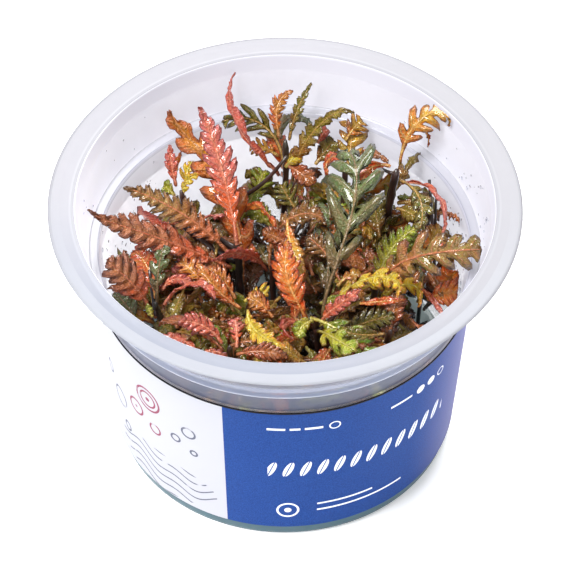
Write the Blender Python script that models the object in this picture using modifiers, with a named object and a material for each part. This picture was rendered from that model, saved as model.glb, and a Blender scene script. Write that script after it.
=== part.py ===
# A tissue culture cup of a cut-leaved aquarium plant: a turned plastic cup with its label, a disc
# of gel, upright stems rooted in the gel, lobed leaves that spread from the stems, and a mound of
# small leaves round the stems that rises between the large ones.
# Metres, +Z up. The origin is the centre of the foot, and the front of the cup faces -Y.
import math

import bpy
import bmesh
from mathutils import Vector

mm = 0.001

# Cup
cup_height = 65.0 * mm
rim_radius = 50.0 * mm
rim_thickness = 1.7 * mm
base_radius = 36.4 * mm
shoulder_radius = 40.2 * mm
shoulder_height = 50.8 * mm
collar_radius = 42.4 * mm
wall = 0.8 * mm
floor_height = 2.0 * mm
foot_height = 1.0 * mm
round_steps = 36

# Label
label_bottom = 3.2 * mm
label_top = 44.3 * mm
label_thickness = 0.25 * mm
label_turn = math.radians(200)
label_steps = 20

# Gel
gel_height = 13.0 * mm
root_bottom = 8.0 * mm
socket_clearance = 0.45 * mm
socket_sides = 6
gap = 0.35 * mm

# Undergrowth
mound_height = 39.0 * mm
mound_fall = 9.0 * mm
mound_radius = 31.5 * mm
mound_foot_radius = 30.2 * mm
mound_rings = 10
mound_steps = 36
mound_socket_clearance = 1.4 * mm
mound_leaf_gap = 0.9 * mm

# Stems
stem_steps = 4

# Leaves
leaf_thickness = 0.5 * mm
stalk_half_width = 0.45 * mm
blade_half_width = 0.5 * mm
tip_half_width = 0.4 * mm
stem_clearance = 1.7 * mm
line_steps = 24
sample_steps = 3 * line_steps
sample_sides = 5

# Colour and roughness of each finish
finishes = {
    "clear_plastic": ((0.83, 0.83, 0.88), 0.25),
    "label_paper": ((0.03, 0.10, 0.40), 0.45),
    "agar": ((0.75, 0.70, 0.55), 0.15),
    "stem": ((0.06, 0.03, 0.02), 0.5),
    "rose": ((0.72, 0.16, 0.11), 0.4),
    "orange": ((0.72, 0.20, 0.04), 0.35),
    "amber": ((0.55, 0.26, 0.05), 0.4),
    "bronze": ((0.33, 0.15, 0.06), 0.4),
    "olive": ((0.26, 0.24, 0.05), 0.4),
    "lime": ((0.45, 0.50, 0.08), 0.35),
    "yellow": ((0.75, 0.55, 0.08), 0.35),
    "grey": ((0.25, 0.28, 0.18), 0.5),
    "deep": ((0.05, 0.045, 0.015), 0.4),
}

# Stems: foot (x, y) where the stem leaves the gel, top (x, y, z) of its crown, and radius, in mm
stems = {
    "a": dict(foot=(-24.5, -4.5), top=(-27.5, -7.5, 42), radius=0.9),
    "b": dict(foot=(-9, 4.5), top=(-10, 7.5, 42), radius=1.1),
    "c": dict(foot=(0, 27), top=(0, 31, 52), radius=1.0),
    "d": dict(foot=(20, 17.5), top=(24, 20.5, 54), radius=1.2),
    "e": dict(foot=(7.5, -7.5), top=(6.5, -11.5, 42), radius=1.0),
    "f": dict(foot=(17.5, -1.5), top=(19.5, -2.5, 42), radius=1.0),
    "g": dict(foot=(29.5, 13), top=(31.5, 18, 46), radius=0.6),
    "h": dict(foot=(-19.5, 16.5), top=(-22.5, 19.5, 48), radius=0.9),
    "i": dict(foot=(-10.5, -16.5), top=(-11.5, -21.5, 44), radius=0.9),
    "j": dict(foot=(19.5, -11), top=(22.5, -15, 42), radius=0.9),
    "k": dict(foot=(-2.5, 9), top=(-2.5, 8, 38), radius=0.9),
    "l": dict(foot=(-8.5, -5.5), top=(-7.5, -7.5, 42), radius=0.9),
    "m": dict(foot=(12, 21), top=(13, 25, 50), radius=0.9),
}

# Leaves: the stem and how far up it the leaf starts, the way it sets out (heading from +X
# towards +Y, rise above level), how far it droops and sways by its tip, and its roll, in degrees;
# its length and width in mm, its cut with the pairs of lobes, and its finish
leaves = {
    "rose_tall": dict(stem="b", at=1.00, heading=101, rise=49, droop=15, sway=19, roll=5,
        length=31, width=7.2, cut="feather", lobes=9, look="rose"),
    "fern_left": dict(stem="b", at=0.95, heading=166, rise=55, droop=35, sway=10, roll=40,
        length=29.5, width=5, cut="feather", lobes=8, look="amber"),
    "bronze_left": dict(stem="b", at=0.87, heading=152, rise=6, droop=-60, sway=104, roll=35,
        length=46, width=5.6, cut="feather", lobes=8, look="amber"),
    "amber_left": dict(stem="b", at=0.62, heading=83, rise=57, droop=28, sway=82, roll=-20,
        length=44.5, width=8, cut="oak", lobes=4, look="amber"),
    "orange_arch": dict(stem="k", at=1.00, heading=76, rise=94, droop=159, sway=85, roll=70,
        length=19, width=3.6, cut="feather", lobes=5, look="orange"),
    "rose_broad": dict(stem="a", at=1.00, heading=-150, rise=75, droop=29, sway=-40, roll=85,
        length=17.5, width=8.4, cut="oak", lobes=4, look="rose"),
    "grey_rib": dict(stem="a", at=0.93, heading=92, rise=76, droop=41, sway=-23, roll=5,
        length=13, width=5, cut="oak", lobes=3, look="grey"),
    "red_arch": dict(stem="a", at=0.94, heading=34, rise=58, droop=53, sway=-116, roll=65,
        length=18, width=4, cut="feather", lobes=5, look="rose"),
    "olive_low": dict(stem="a", at=0.86, heading=167, rise=49, droop=38, sway=-5, roll=45,
        length=7.5, width=4, cut="oak", lobes=2, look="olive"),
    "rose_thin": dict(stem="c", at=0.80, heading=-151, rise=65, droop=43, sway=-142, roll=155,
        length=29, width=3.6, cut="feather", lobes=6, look="rose"),
    "olive_back": dict(stem="c", at=0.82, heading=103, rise=66, droop=68, sway=114, roll=5,
        length=20, width=6.5, cut="oak", lobes=5, look="olive"),
    "upright_back": dict(stem="c", at=1.00, heading=149, rise=89, droop=78, sway=-134, roll=55,
        length=12.5, width=4.5, cut="feather", lobes=6, look="amber"),
    "narrow_back": dict(stem="c", at=0.97, heading=62, rise=74, droop=44, sway=-12, roll=-15,
        length=14, width=3, cut="feather", lobes=4, look="olive"),
    "grey_arch": dict(stem="c", at=0.98, heading=120, rise=27, droop=51, sway=-206, roll=30,
        length=12.5, width=4.2, cut="strap", lobes=0, look="grey"),
    "olive_long": dict(stem="c", at=0.70, heading=37, rise=86, droop=49, sway=-49, roll=-30,
        length=28, width=4.5, cut="feather", lobes=6, look="olive"),
    "green_deep": dict(stem="c", at=0.55, heading=144, rise=82, droop=59, sway=28, roll=30,
        length=13, width=6, cut="oak", lobes=3, look="olive"),
    "olive_right": dict(stem="d", at=1.00, heading=45, rise=75, droop=61, sway=-25, roll=10,
        length=15, width=7.4, cut="oak", lobes=5, look="olive"),
    "rose_right": dict(stem="d", at=1.00, heading=150, rise=4, droop=39, sway=138, roll=60,
        length=9.5, width=4.5, cut="feather", lobes=5, look="orange"),
    "olive_droop": dict(stem="d", at=0.96, heading=-45, rise=18, droop=30, sway=-62, roll=0,
        length=16.5, width=5.5, cut="oak", lobes=4, look="olive"),
    "red_droop": dict(stem="d", at=0.93, heading=-12, rise=25, droop=52, sway=-101, roll=60,
        length=21, width=3, cut="strap", lobes=0, look="rose"),
    "orange_centre": dict(stem="e", at=0.93, heading=169, rise=71, droop=59, sway=-104, roll=60,
        length=19.5, width=7, cut="feather", lobes=8, look="orange"),
    "grey_large": dict(stem="e", at=0.92, heading=37, rise=91, droop=131, sway=75, roll=-40,
        length=50, width=10.5, cut="oak", lobes=5, look="grey"),
    "tan_rib": dict(stem="e", at=0.64, heading=79, rise=34, droop=39, sway=17, roll=-5,
        length=42.5, width=6.5, cut="oak", lobes=3, look="grey"),
    "red_side": dict(stem="e", at=1.00, heading=-48, rise=71, droop=40, sway=81, roll=-70,
        length=14.5, width=4, cut="feather", lobes=6, look="rose"),
    "lime_low": dict(stem="e", at=0.90, heading=-77, rise=51, droop=41, sway=31, roll=-55,
        length=19.5, width=6.5, cut="oak", lobes=3, look="lime"),
    "red_curl": dict(stem="e", at=0.84, heading=168, rise=50, droop=41, sway=153, roll=-10,
        length=15.5, width=2.6, cut="strap", lobes=0, look="rose"),
    "bronze_large": dict(stem="f", at=1.00, heading=-47, rise=86, droop=90, sway=51, roll=-75,
        length=33, width=8.4, cut="oak", lobes=5, look="bronze"),
    "lime_feather": dict(stem="f", at=0.87, heading=76, rise=68, droop=50, sway=-63, roll=-5,
        length=19, width=6, cut="feather", lobes=7, look="lime"),
    "yellow_arch": dict(stem="e", at=0.80, heading=64, rise=53, droop=32, sway=-177, roll=40,
        length=35.5, width=3, cut="feather", lobes=5, look="yellow"),
    "peach_tip": dict(stem="f", at=0.62, heading=49, rise=82, droop=80, sway=-159, roll=20,
        length=26, width=3.2, cut="feather", lobes=5, look="yellow"),
    "orange_round": dict(stem="g", at=0.27, heading=-55, rise=66, droop=5, sway=-9, roll=-115,
        length=26.5, width=6.5, cut="oak", lobes=3, look="orange"),
    "rosy_left": dict(stem="h", at=1.00, heading=128, rise=74, droop=33, sway=-38, roll=30,
        length=9.5, width=3, cut="feather", lobes=4, look="rose"),
    "yellow_left": dict(stem="h", at=0.90, heading=100, rise=80, droop=60, sway=-121, roll=25,
        length=8, width=2.6, cut="oak", lobes=2, look="yellow"),
    "pink_front": dict(stem="i", at=1.00, heading=154, rise=61, droop=57, sway=36, roll=30,
        length=11.5, width=5, cut="feather", lobes=6, look="rose"),
    "brown_curve": dict(stem="i", at=0.91, heading=158, rise=57, droop=127, sway=-19, roll=85,
        length=20, width=3, cut="strap", lobes=0, look="bronze"),
    "olive_front": dict(stem="j", at=1.00, heading=-143, rise=26, droop=29, sway=-63, roll=55,
        length=10.5, width=3.6, cut="feather", lobes=5, look="olive"),
    "brown_fern": dict(stem="k", at=0.84, heading=112, rise=69, droop=61, sway=-188, roll=70,
        length=24.5, width=5, cut="feather", lobes=7, look="bronze"),
    "red_thin": dict(stem="k", at=0.94, heading=-143, rise=70, droop=51, sway=19, roll=80,
        length=24.5, width=2.6, cut="strap", lobes=0, look="rose"),
    "olive_orange": dict(stem="l", at=0.93, heading=172, rise=39, droop=23, sway=-60, roll=50,
        length=14, width=5, cut="feather", lobes=6, look="amber"),
    "yellow_twist": dict(stem="l", at=1.00, heading=-98, rise=17, droop=15, sway=67, roll=-50,
        length=12.5, width=3.6, cut="oak", lobes=4, look="yellow"),
    "oak_yellow": dict(stem="m", at=0.92, heading=75, rise=53, droop=39, sway=13, roll=-10,
        length=12, width=5.5, cut="oak", lobes=3, look="amber"),
    "orange_strap": dict(stem="m", at=1.00, heading=175, rise=117, droop=210, sway=116, roll=10,
        length=11, width=2.4, cut="strap", lobes=0, look="orange"),
    "brown_side": dict(stem="m", at=0.86, heading=97, rise=41, droop=54, sway=-151, roll=40,
        length=15, width=3.6, cut="feather", lobes=5, look="bronze"),
}


def clear_scene():
    for item in list(bpy.data.objects):
        bpy.data.objects.remove(item, do_unlink=True)


def new_collection(name):
    group = bpy.data.collections.new(name)
    bpy.context.scene.collection.children.link(group)
    return group


def finish(name):
    """One Principled material for each finish, made when it is first used."""
    if name in bpy.data.materials:
        return bpy.data.materials[name]
    colour, roughness = finishes[name]
    material = bpy.data.materials.new(name)
    material.use_nodes = True
    shader = material.node_tree.nodes["Principled BSDF"]
    shader.inputs["Base Color"].default_value = (*colour, 1.0)
    shader.inputs["Roughness"].default_value = roughness
    shader.inputs["Metallic"].default_value = 0.0
    material.diffuse_color = (*colour, 1.0)
    return material


def add_object(name, data, group, finish_name=None):
    item = bpy.data.objects.new(name, data)
    group.objects.link(item)
    if finish_name:
        data.materials.append(finish(finish_name))
    return item


def turned(name, profile, group, finish_name, turn=2 * math.pi, steps=round_steps):
    """A turned shape from (radius, height) points, which run down its outer side."""
    mesh = bpy.data.meshes.new(name)
    edges = [(i, i + 1) for i in range(len(profile) - 1)]
    mesh.from_pydata([(radius, 0, height) for radius, height in profile], edges, [])
    item = add_object(name, mesh, group, finish_name)
    screw = item.modifiers.new("turn", "SCREW")
    screw.angle = turn
    screw.steps = steps
    screw.render_steps = steps
    screw.use_merge_vertices = True
    screw.merge_threshold = 0.00001
    screw.use_smooth_shade = True
    return item


def outer_radius(height):
    """Radius of the tapered wall's outside below the shoulder."""
    share = height / shoulder_height
    return base_radius + (shoulder_radius - base_radius) * share


def build_cup(group):
    underside = cup_height - rim_thickness
    profile = [
        (0, floor_height),
        (base_radius - wall - 1.0 * mm, floor_height),
        (base_radius - wall, floor_height + 1.0 * mm),
        (shoulder_radius - wall, shoulder_height + 0.8 * mm),
        (shoulder_radius - 0.3 * mm, shoulder_height + 1.2 * mm),
        (collar_radius - wall - 0.3 * mm, shoulder_height + 1.2 * mm),
        (collar_radius - wall, shoulder_height + 1.8 * mm),
        (collar_radius + 1.7 * mm, cup_height - 0.8 * mm),
        (collar_radius + 2.5 * mm, cup_height),
        (rim_radius - 2.7 * mm, cup_height),
        (rim_radius - 0.6 * mm, cup_height - 0.2 * mm),
        (rim_radius, cup_height - 0.7 * mm),
        (rim_radius, underside),
        (rim_radius - 0.8 * mm, underside),
        (rim_radius - 0.9 * mm, underside + 0.5 * mm),
        (collar_radius + 3.0 * mm, underside + 0.3 * mm),
        (collar_radius + 2.3 * mm, underside - 0.7 * mm),
        (collar_radius, shoulder_height + 1.2 * mm),
        (collar_radius - 0.8 * mm, shoulder_height + 0.1 * mm),
        (shoulder_radius, shoulder_height - 0.3 * mm),
        (outer_radius(1.6 * mm), 1.6 * mm),
        (base_radius - 0.9 * mm, 0),
        (base_radius - 3.9 * mm, 0),
        (base_radius - 4.6 * mm, foot_height),
        (0, foot_height),
    ]
    turned("cup", profile, group, "clear_plastic")


def build_label(group):
    """The printed wrap round the front of the cup."""
    profile = [(outer_radius(height) + gap, height) for height in (label_top, label_bottom)]
    item = turned("label", profile, group, "label_paper", label_turn, label_steps)
    item.rotation_euler = (0, 0, -math.pi / 2 - label_turn / 2)
    thicken(item, label_thickness, 1)


def thicken(item, thickness, offset):
    solid = item.modifiers.new("thickness", "SOLIDIFY")
    solid.thickness = thickness
    solid.offset = offset


def cut_sockets(item, bottom, top, clearance, cutters):
    """Opens a socket for every stem in an item, from the height bottom to the height top."""
    bpy.ops.object.select_all(action="DESELECT")
    sockets = []
    for stem in stems.values():
        low = stem_at_height(stem, bottom)
        high = stem_at_height(stem, top)
        lean = (high - low).to_track_quat("Z", "Y")
        bpy.ops.mesh.primitive_cylinder_add(
            vertices=socket_sides,
            radius=stem["radius"] * mm + clearance,
            depth=(high - low).length,
            location=(low + high) / 2,
            rotation=lean.to_euler(),
        )
        sockets.append(bpy.context.object)
    cutter = sockets[0]
    for socket in sockets:
        socket.select_set(True)
    bpy.context.view_layer.objects.active = cutter
    bpy.ops.object.join()
    cutter.name = item.name + "_sockets"
    for home in list(cutter.users_collection):
        home.objects.unlink(cutter)
    cutters.objects.link(cutter)
    cutter.hide_render = True
    cutter.display_type = "WIRE"
    cut = item.modifiers.new("sockets", "BOOLEAN")
    cut.operation = "DIFFERENCE"
    cut.object = cutter


def build_gel(group, cutters):
    """The gel disc, with a socket for every stem."""
    side = outer_radius(gel_height) - wall - gap
    profile = [
        (0, gel_height),
        (side, gel_height),
        (base_radius - wall - 0.5 * mm, floor_height + 1.2 * mm),
        (base_radius - wall - 1.3 * mm, floor_height + gap),
        (0, floor_height + gap),
    ]
    item = turned("gel", profile, group, "agar")
    cut_sockets(item, root_bottom - gap, gel_height + 5 * mm, socket_clearance, cutters)


def stem_point(stem, share):
    """A point on a stem's centre line, which leans more towards its top."""
    foot = Vector((*stem["foot"], root_bottom / mm))
    top = Vector(stem["top"])
    lean = share * share
    x = foot.x + (top.x - foot.x) * lean
    y = foot.y + (top.y - foot.y) * lean
    z = foot.z + (top.z - foot.z) * share
    return Vector((x, y, z)) * mm


def stem_at_height(stem, height):
    share = (height - root_bottom) / (stem["top"][2] * mm - root_bottom)
    return stem_point(stem, share)


def build_stem(letter, stem, group):
    curve = bpy.data.curves.new("stem_" + letter, "CURVE")
    curve.dimensions = "3D"
    curve.bevel_depth = stem["radius"] * mm
    curve.bevel_resolution = 2
    curve.use_fill_caps = True
    spline = curve.splines.new("POLY")
    spline.points.add(stem_steps)
    for i, point in enumerate(spline.points):
        point.co = (*stem_point(stem, i / stem_steps), 1.0)
    add_object("stem_" + letter, curve, group, "stem")


class LeafLine:
    """A leaf's midrib: its points, and the way along, across and up at each of them."""

    def __init__(self, leaf):
        heading = math.radians(leaf["heading"])
        start = Vector((math.cos(heading), math.sin(heading), 0))
        point = stem_point(stems[leaf["stem"]], leaf["at"]) + start * stem_clearance
        across = Vector((start.y, -start.x, 0))
        self.points = [point]
        self.frames = []
        for i in range(line_steps + 1):
            along = self.direction(leaf, i / line_steps)
            across = (across - along * across.dot(along)).normalized()
            roll = math.radians(leaf["roll"])
            wide = across * math.cos(roll) + across.cross(along) * math.sin(roll)
            self.frames.append((wide, wide.cross(along)))
            if i < line_steps:
                step = self.direction(leaf, (i + 0.5) / line_steps)
                self.points.append(self.points[-1] + step * leaf["length"] * mm / line_steps)

    @staticmethod
    def direction(leaf, share):
        heading = math.radians(leaf["heading"] + leaf["sway"] * share)
        rise = math.radians(leaf["rise"] - leaf["droop"] * share)
        level = math.cos(rise)
        return Vector((level * math.cos(heading), level * math.sin(heading), math.sin(rise)))

    def at(self, share):
        """Point, across and up at a share of the length, read between the midrib's points."""
        place = min(max(share, 0.0), 1.0) * line_steps
        low = min(int(place), line_steps - 1)
        part = place - low
        point = self.points[low].lerp(self.points[low + 1], part)
        across = self.frames[low][0].lerp(self.frames[low + 1][0], part)
        up = self.frames[low][1].lerp(self.frames[low + 1][1], part)
        return point, across, up


# For each cut of leaf: the stalk's share of the length, how far the lobes lean towards the tip,
# how much of the width is left between two lobes, and how far the two halves fold up
cuts = {
    "feather": dict(stalk=0.16, lean=0.75, notch=0.55, fold=0.12),
    "oak": dict(stalk=0.22, lean=0.45, notch=0.32, fold=0.08),
    "strap": dict(stalk=0.10, lean=0.0, notch=1.0, fold=0.15),
}


def leaf_rows(leaf):
    """Rows (share of the length, half width) that go in and out with the lobes."""
    cut = cuts[leaf["cut"]]
    half = leaf["width"] * mm / 2
    stalk = cut["stalk"]
    rows = [(0.0, stalk_half_width), (stalk, blade_half_width)]

    def add(share, width):
        rows.append((stalk + (1 - stalk) * share, max(blade_half_width, width)))

    for i in range(leaf["lobes"]):
        if leaf["cut"] == "feather":
            for place, depth in ((0.25, cut["notch"]), (0.75, 1.0)):
                share = (i + place) / leaf["lobes"]
                swell = math.sin(math.pi * min(0.985, share ** 0.85)) ** 0.75
                add(share - 0.2 / leaf["lobes"], half * swell * depth)
        else:
            for place, depth in ((0.08, cut["notch"]), (0.42, 1.0), (0.75, 0.95)):
                share = (i + place) / leaf["lobes"]
                swell = math.sin(math.pi * min(0.97, (0.08 + 0.92 * share) ** 1.05)) ** 0.55
                add(share, half * swell * depth)
    if leaf["cut"] == "strap":
        for i in range(1, 6):
            add(i / 6, half * math.sin(math.pi * (i / 6) ** 0.8) ** 0.7)
    rows.append((1.0, tip_half_width))
    return rows


def build_leaf(name, leaf, group):
    """A flat grid, one row of vertices for each leaf row, moved on to the leaf's line."""
    line = LeafLine(leaf)
    rows = leaf_rows(leaf)
    cut = cuts[leaf["cut"]]
    shape = bmesh.new()
    bmesh.ops.create_grid(shape, x_segments=len(rows) - 1, y_segments=2, size=1.0)
    for vertex in shape.verts:
        row = round((vertex.co.x + 1) / 2 * (len(rows) - 1))
        side = round(vertex.co.y)
        share, half = rows[row]
        lean = cut["lean"] * half / (leaf["length"] * mm) if side else 0.0
        point, across, up = line.at(min(share + lean, 1.0))
        vertex.co = point + across * side * half + up * abs(side) * half * cut["fold"]
    bmesh.ops.recalc_face_normals(shape, faces=shape.faces)
    mesh = bpy.data.meshes.new("leaf_" + name)
    shape.to_mesh(mesh)
    shape.free()
    item = add_object("leaf_" + name, mesh, group, leaf["look"])
    thicken(item, leaf_thickness, 0)


def mound_heights():
    """Height of the mound's top at each ring and step: a dome, lowered under each large leaf."""
    heights = {}
    for ring in range(mound_rings + 1):
        dome = mound_height - mound_fall * (ring / mound_rings) ** 4
        for step in range(mound_steps):
            heights[ring, step] = dome
    for leaf in leaves.values():
        line = LeafLine(leaf)
        fold = cuts[leaf["cut"]]["fold"]
        half = leaf["width"] * mm / 2 + mound_leaf_gap
        for i in range(sample_steps + 1):
            point, across, up = line.at(i / sample_steps)
            for side in range(-sample_sides, sample_sides + 1):
                reach = half * side / sample_sides
                place = point + across * reach + up * abs(reach) * fold
                lower_cell(heights, place)
    centre = min(heights[0, step] for step in range(mound_steps))
    for step in range(mound_steps):
        heights[0, step] = centre
    return heights


def lower_cell(heights, place):
    """Keeps the four corners of the mound's cell under a place on a leaf below that place."""
    ring = int(math.hypot(place.x, place.y) / mound_radius * mound_rings)
    if ring >= mound_rings:
        return
    step = math.floor(math.atan2(place.y, place.x) / (2 * math.pi) * mound_steps)
    for corner in ((ring, step), (ring + 1, step), (ring, step + 1), (ring + 1, step + 1)):
        key = (corner[0], corner[1] % mound_steps)
        heights[key] = min(heights[key], place.z - mound_leaf_gap)


def build_undergrowth(group, cutters):
    """The mass of small leaves round the stems, as one mound that rises between the large ones."""
    profile = [(mound_radius * i / mound_rings, mound_height) for i in range(mound_rings + 1)]
    profile += [(mound_foot_radius, gel_height + gap), (0, gel_height + gap)]
    item = turned("undergrowth", profile, group, "deep", steps=mound_steps)
    graph = bpy.context.evaluated_depsgraph_get()
    mesh = bpy.data.meshes.new_from_object(item.evaluated_get(graph))
    item.modifiers.clear()
    item.data = mesh
    heights = mound_heights()
    for vertex in mesh.vertices:
        if vertex.co.z > mound_height - gap:
            ring = round(vertex.co.xy.length / mound_radius * mound_rings)
            step = round(math.atan2(vertex.co.y, vertex.co.x) / (2 * math.pi) * mound_steps)
            vertex.co.z = heights[ring, step % mound_steps]
    bottom = gel_height - 2 * mm
    cut_sockets(item, bottom, mound_height + 2 * mm, mound_socket_clearance, cutters)


def main():
    clear_scene()
    group = new_collection("tissue_culture_cup")
    cutters = new_collection("cutters")
    build_cup(group)
    build_label(group)
    build_gel(group, cutters)
    for letter, stem in stems.items():
        build_stem(letter, stem, group)
    for name, leaf in leaves.items():
        build_leaf(name, leaf, group)
    build_undergrowth(group, cutters)


main()
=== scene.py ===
# A tissue culture cup with its plant: the turned cup, its printed wrap, the gel, and every stem
# and leaf of the plant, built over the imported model.
import math
import random

import bpy
import numpy as np
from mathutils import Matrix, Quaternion, Vector


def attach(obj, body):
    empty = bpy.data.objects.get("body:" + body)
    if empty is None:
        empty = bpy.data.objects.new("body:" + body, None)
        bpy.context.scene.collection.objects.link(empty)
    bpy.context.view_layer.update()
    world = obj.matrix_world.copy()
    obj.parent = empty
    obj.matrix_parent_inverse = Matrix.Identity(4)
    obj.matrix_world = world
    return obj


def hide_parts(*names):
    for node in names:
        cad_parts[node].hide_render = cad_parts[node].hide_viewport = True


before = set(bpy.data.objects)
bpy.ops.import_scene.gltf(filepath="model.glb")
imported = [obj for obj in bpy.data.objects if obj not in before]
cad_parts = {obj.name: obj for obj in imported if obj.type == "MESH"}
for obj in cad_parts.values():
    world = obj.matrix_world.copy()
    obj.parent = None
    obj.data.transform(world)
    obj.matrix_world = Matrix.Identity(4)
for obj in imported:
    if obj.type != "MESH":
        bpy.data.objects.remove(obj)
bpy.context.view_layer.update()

mm = 0.001
bpy.ops.object.select_all(action="DESELECT")
print("frame loaded:", len(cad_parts), "nodes")


# Shader sockets that take part in Python maths

class Socket:
    def __init__(self, tree, socket):
        self.tree = tree
        self.socket = socket

    def node(self, kind, settings=None, values=None, output=0):
        made = self.tree.nodes.new("ShaderNode" + kind)
        for key, value in (settings or {}).items():
            setattr(made, key, value)
        for key, value in (values or {}).items():
            if isinstance(value, Socket):
                self.tree.links.new(value.socket, made.inputs[key])
            else:
                made.inputs[key].default_value = value
        return Socket(self.tree, made.outputs[output])

    def math(self, operation, *values):
        return self.node("Math", {"operation": operation}, dict(enumerate(values)))

    def __abs__(self):
        return self.math("ABSOLUTE", self)

    def under(self, limit):  # 1 where the value is below the limit
        return self.math("LESS_THAN", self, limit)

    def over(self, limit):
        return self.math("GREATER_THAN", self, limit)

    def rise(self, low, high):  # 0 below low, 1 above high, smooth between
        return self.node("MapRange", {"interpolation_type": "SMOOTHSTEP"},
                         {"Value": self, "From Min": low, "From Max": high})

    def pick(self, first, second):  # colour: first where the value is 0, second where it is 1
        return self.node("Mix", {"data_type": "RGBA"}, {0: self, 6: first, 7: second}, 2)


def overload(name, operation):  # an operator and its reflected form
    setattr(Socket, "__%s__" % name, lambda self, other: self.math(operation, self, other))
    setattr(Socket, "__r%s__" % name, lambda self, other: self.math(operation, other, self))


overload("add", "ADD")
overload("sub", "SUBTRACT")
overload("mul", "MULTIPLY")
overload("truediv", "DIVIDE")


def tint(red, green, blue):  # a screen colour, 0 to 255, as the shader wants it
    def linear(value):
        value /= 255
        return value / 12.92 if value <= 0.04045 else ((value + 0.055) / 1.055) ** 2.4
    return (linear(red), linear(green), linear(blue), 1.0)


def newFinish(name, **fixed):  # a Principled material, its constants, and a first socket
    material = bpy.data.materials.new(name)
    material.use_nodes = True
    tree = material.node_tree
    shader = tree.nodes["Principled BSDF"]
    for key, value in fixed.items():
        shader.inputs[key.replace("_", " ")].default_value = value
    place = Socket(tree, tree.nodes.new("ShaderNodeTexCoord").outputs["Object"])
    return material, shader, place


def drive(shader, source, name):
    source.tree.links.new(source.socket, shader.inputs[name])


def noise(place, scale, detail=3, roughness=0.5):
    return place.node("TexNoise", None, {"Vector": place, "Scale": scale, "Detail": detail,
                                         "Roughness": roughness})


def bump(place, height, distance):
    return place.node("Bump", None, {"Height": height, "Distance": distance, "Strength": 1.0})


def settle(piece, slot, *nodes):  # rides on the one body and stands for nodes; slot is not used
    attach(piece, "root")
    if nodes:
        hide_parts(*nodes)


# Camera

view = dict(rise=46.894, turn=0.338, distance=900.98, height=65, focal=4294,
            centreX=285.103, centreY=203.486, image=570, sensor=36, near=0.05)


def setCamera():
    bpy.ops.object.camera_add()
    camera = bpy.context.object
    rise = math.radians(view["rise"])
    forward = Vector((0, math.cos(rise), -math.sin(rise)))
    aim = Vector((0, 0, view["height"] * mm))
    camera.rotation_mode = "QUATERNION"
    roll = Quaternion((0, 0, 1), math.radians(view["turn"]))
    camera.rotation_quaternion = forward.to_track_quat("-Z", "Y") @ roll
    camera.location = aim - forward * view["distance"] * mm
    lens = camera.data
    lens.sensor_width = view["sensor"]
    lens.lens = view["focal"] / view["image"] * view["sensor"]
    lens.shift_x = -(view["centreX"] - view["image"] / 2) / view["image"]
    lens.shift_y = -(view["image"] / 2 - view["centreY"]) / view["image"]
    lens.clip_start = view["near"]
    bpy.context.scene.camera = camera


# Floor and light: soft boxes over a white table

studio = dict(floorSize=3.0, floorColour=(250, 250, 252), floorCloud=(252, 252, 252),
              floorRoughness=0.6, floorGlow=0.34, worldColour=(0.96, 0.97, 1.0), worldPower=0.25)
softBoxes = {
    "key": dict(place=(-0.35, -0.25, 0.85), aim=(0, 0, 0.04), size=0.42, power=13.0),
    "back": dict(place=(0.25, 0.65, 0.75), aim=(0, 0, 0.05), size=0.5, power=9.5),
    "front": dict(place=(0.3, -0.9, 0.45), aim=(0, 0, 0.03), size=0.7, power=2.5),
}


def setStudio():
    bpy.ops.mesh.primitive_grid_add(x_subdivisions=4, y_subdivisions=4, size=studio["floorSize"])
    floor = bpy.context.object
    floor.name = "whiteTable"
    material, shader, place = newFinish("tableWhite", Roughness=studio["floorRoughness"])
    base = noise(place, 8).pick(tint(*studio["floorColour"]), tint(*studio["floorCloud"]))
    drive(shader, base, "Base Color")
    shader.inputs["Emission Color"].default_value = (1, 1, 1, 1)
    shader.inputs["Emission Strength"].default_value = studio["floorGlow"]
    floor.data.materials.append(material)
    world = bpy.data.worlds.new("softRoom")
    world.use_nodes = True
    sky = world.node_tree.nodes["Background"]
    sky.inputs["Color"].default_value = (*studio["worldColour"], 1)
    sky.inputs["Strength"].default_value = studio["worldPower"]
    bpy.context.scene.world = world
    for name, box in softBoxes.items():
        bpy.ops.object.light_add(type="AREA", location=box["place"])
        lamp = bpy.context.object
        lamp.name = name
        lamp.data.shape = "DISK"
        lamp.data.size = box["size"]
        lamp.data.energy = box["power"]
        away = Vector(box["aim"]) - Vector(box["place"])
        lamp.rotation_euler = away.to_track_quat("-Z", "Y").to_euler()
    bpy.context.scene.view_settings.view_transform = "Standard"


setCamera()
setStudio()
print("camera, table and light are set")


# Turned pieces: a disc or ring whose edge is drawn out ring by ring

def turnedPiece(name, profile, sides, openEnds=False):  # (radius, height) points in mm
    fill = "NOTHING" if openEnds else "TRIFAN"
    radius, height = profile[0]
    bpy.ops.mesh.primitive_circle_add(vertices=sides, radius=radius * mm, fill_type=fill,
                                      location=(0, 0, height * mm))
    piece = bpy.context.object
    piece.name = name
    bpy.ops.object.transform_apply(location=True, rotation=True, scale=True)
    bpy.ops.object.mode_set(mode="EDIT")
    bpy.ops.mesh.select_mode(type="EDGE")
    bpy.ops.mesh.select_all(action="SELECT")
    if not openEnds:
        bpy.ops.mesh.region_to_loop()
    for newRadius, newHeight in profile[1:]:
        scale = newRadius / radius
        lift = (newHeight - height) * mm
        bpy.ops.mesh.extrude_region_move(TRANSFORM_OT_translate={"value": (0, 0, lift)})
        bpy.ops.transform.resize(value=(scale, scale, 1), center_override=(0, 0, 0))
        radius, height = newRadius, newHeight
    if not openEnds:
        bpy.ops.mesh.edge_face_add()
        bpy.ops.mesh.poke()
    bpy.ops.mesh.select_all(action="SELECT")
    bpy.ops.mesh.normals_make_consistent(inside=False)
    bpy.ops.object.mode_set(mode="OBJECT")
    piece.data.shade_smooth()
    return piece


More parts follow.
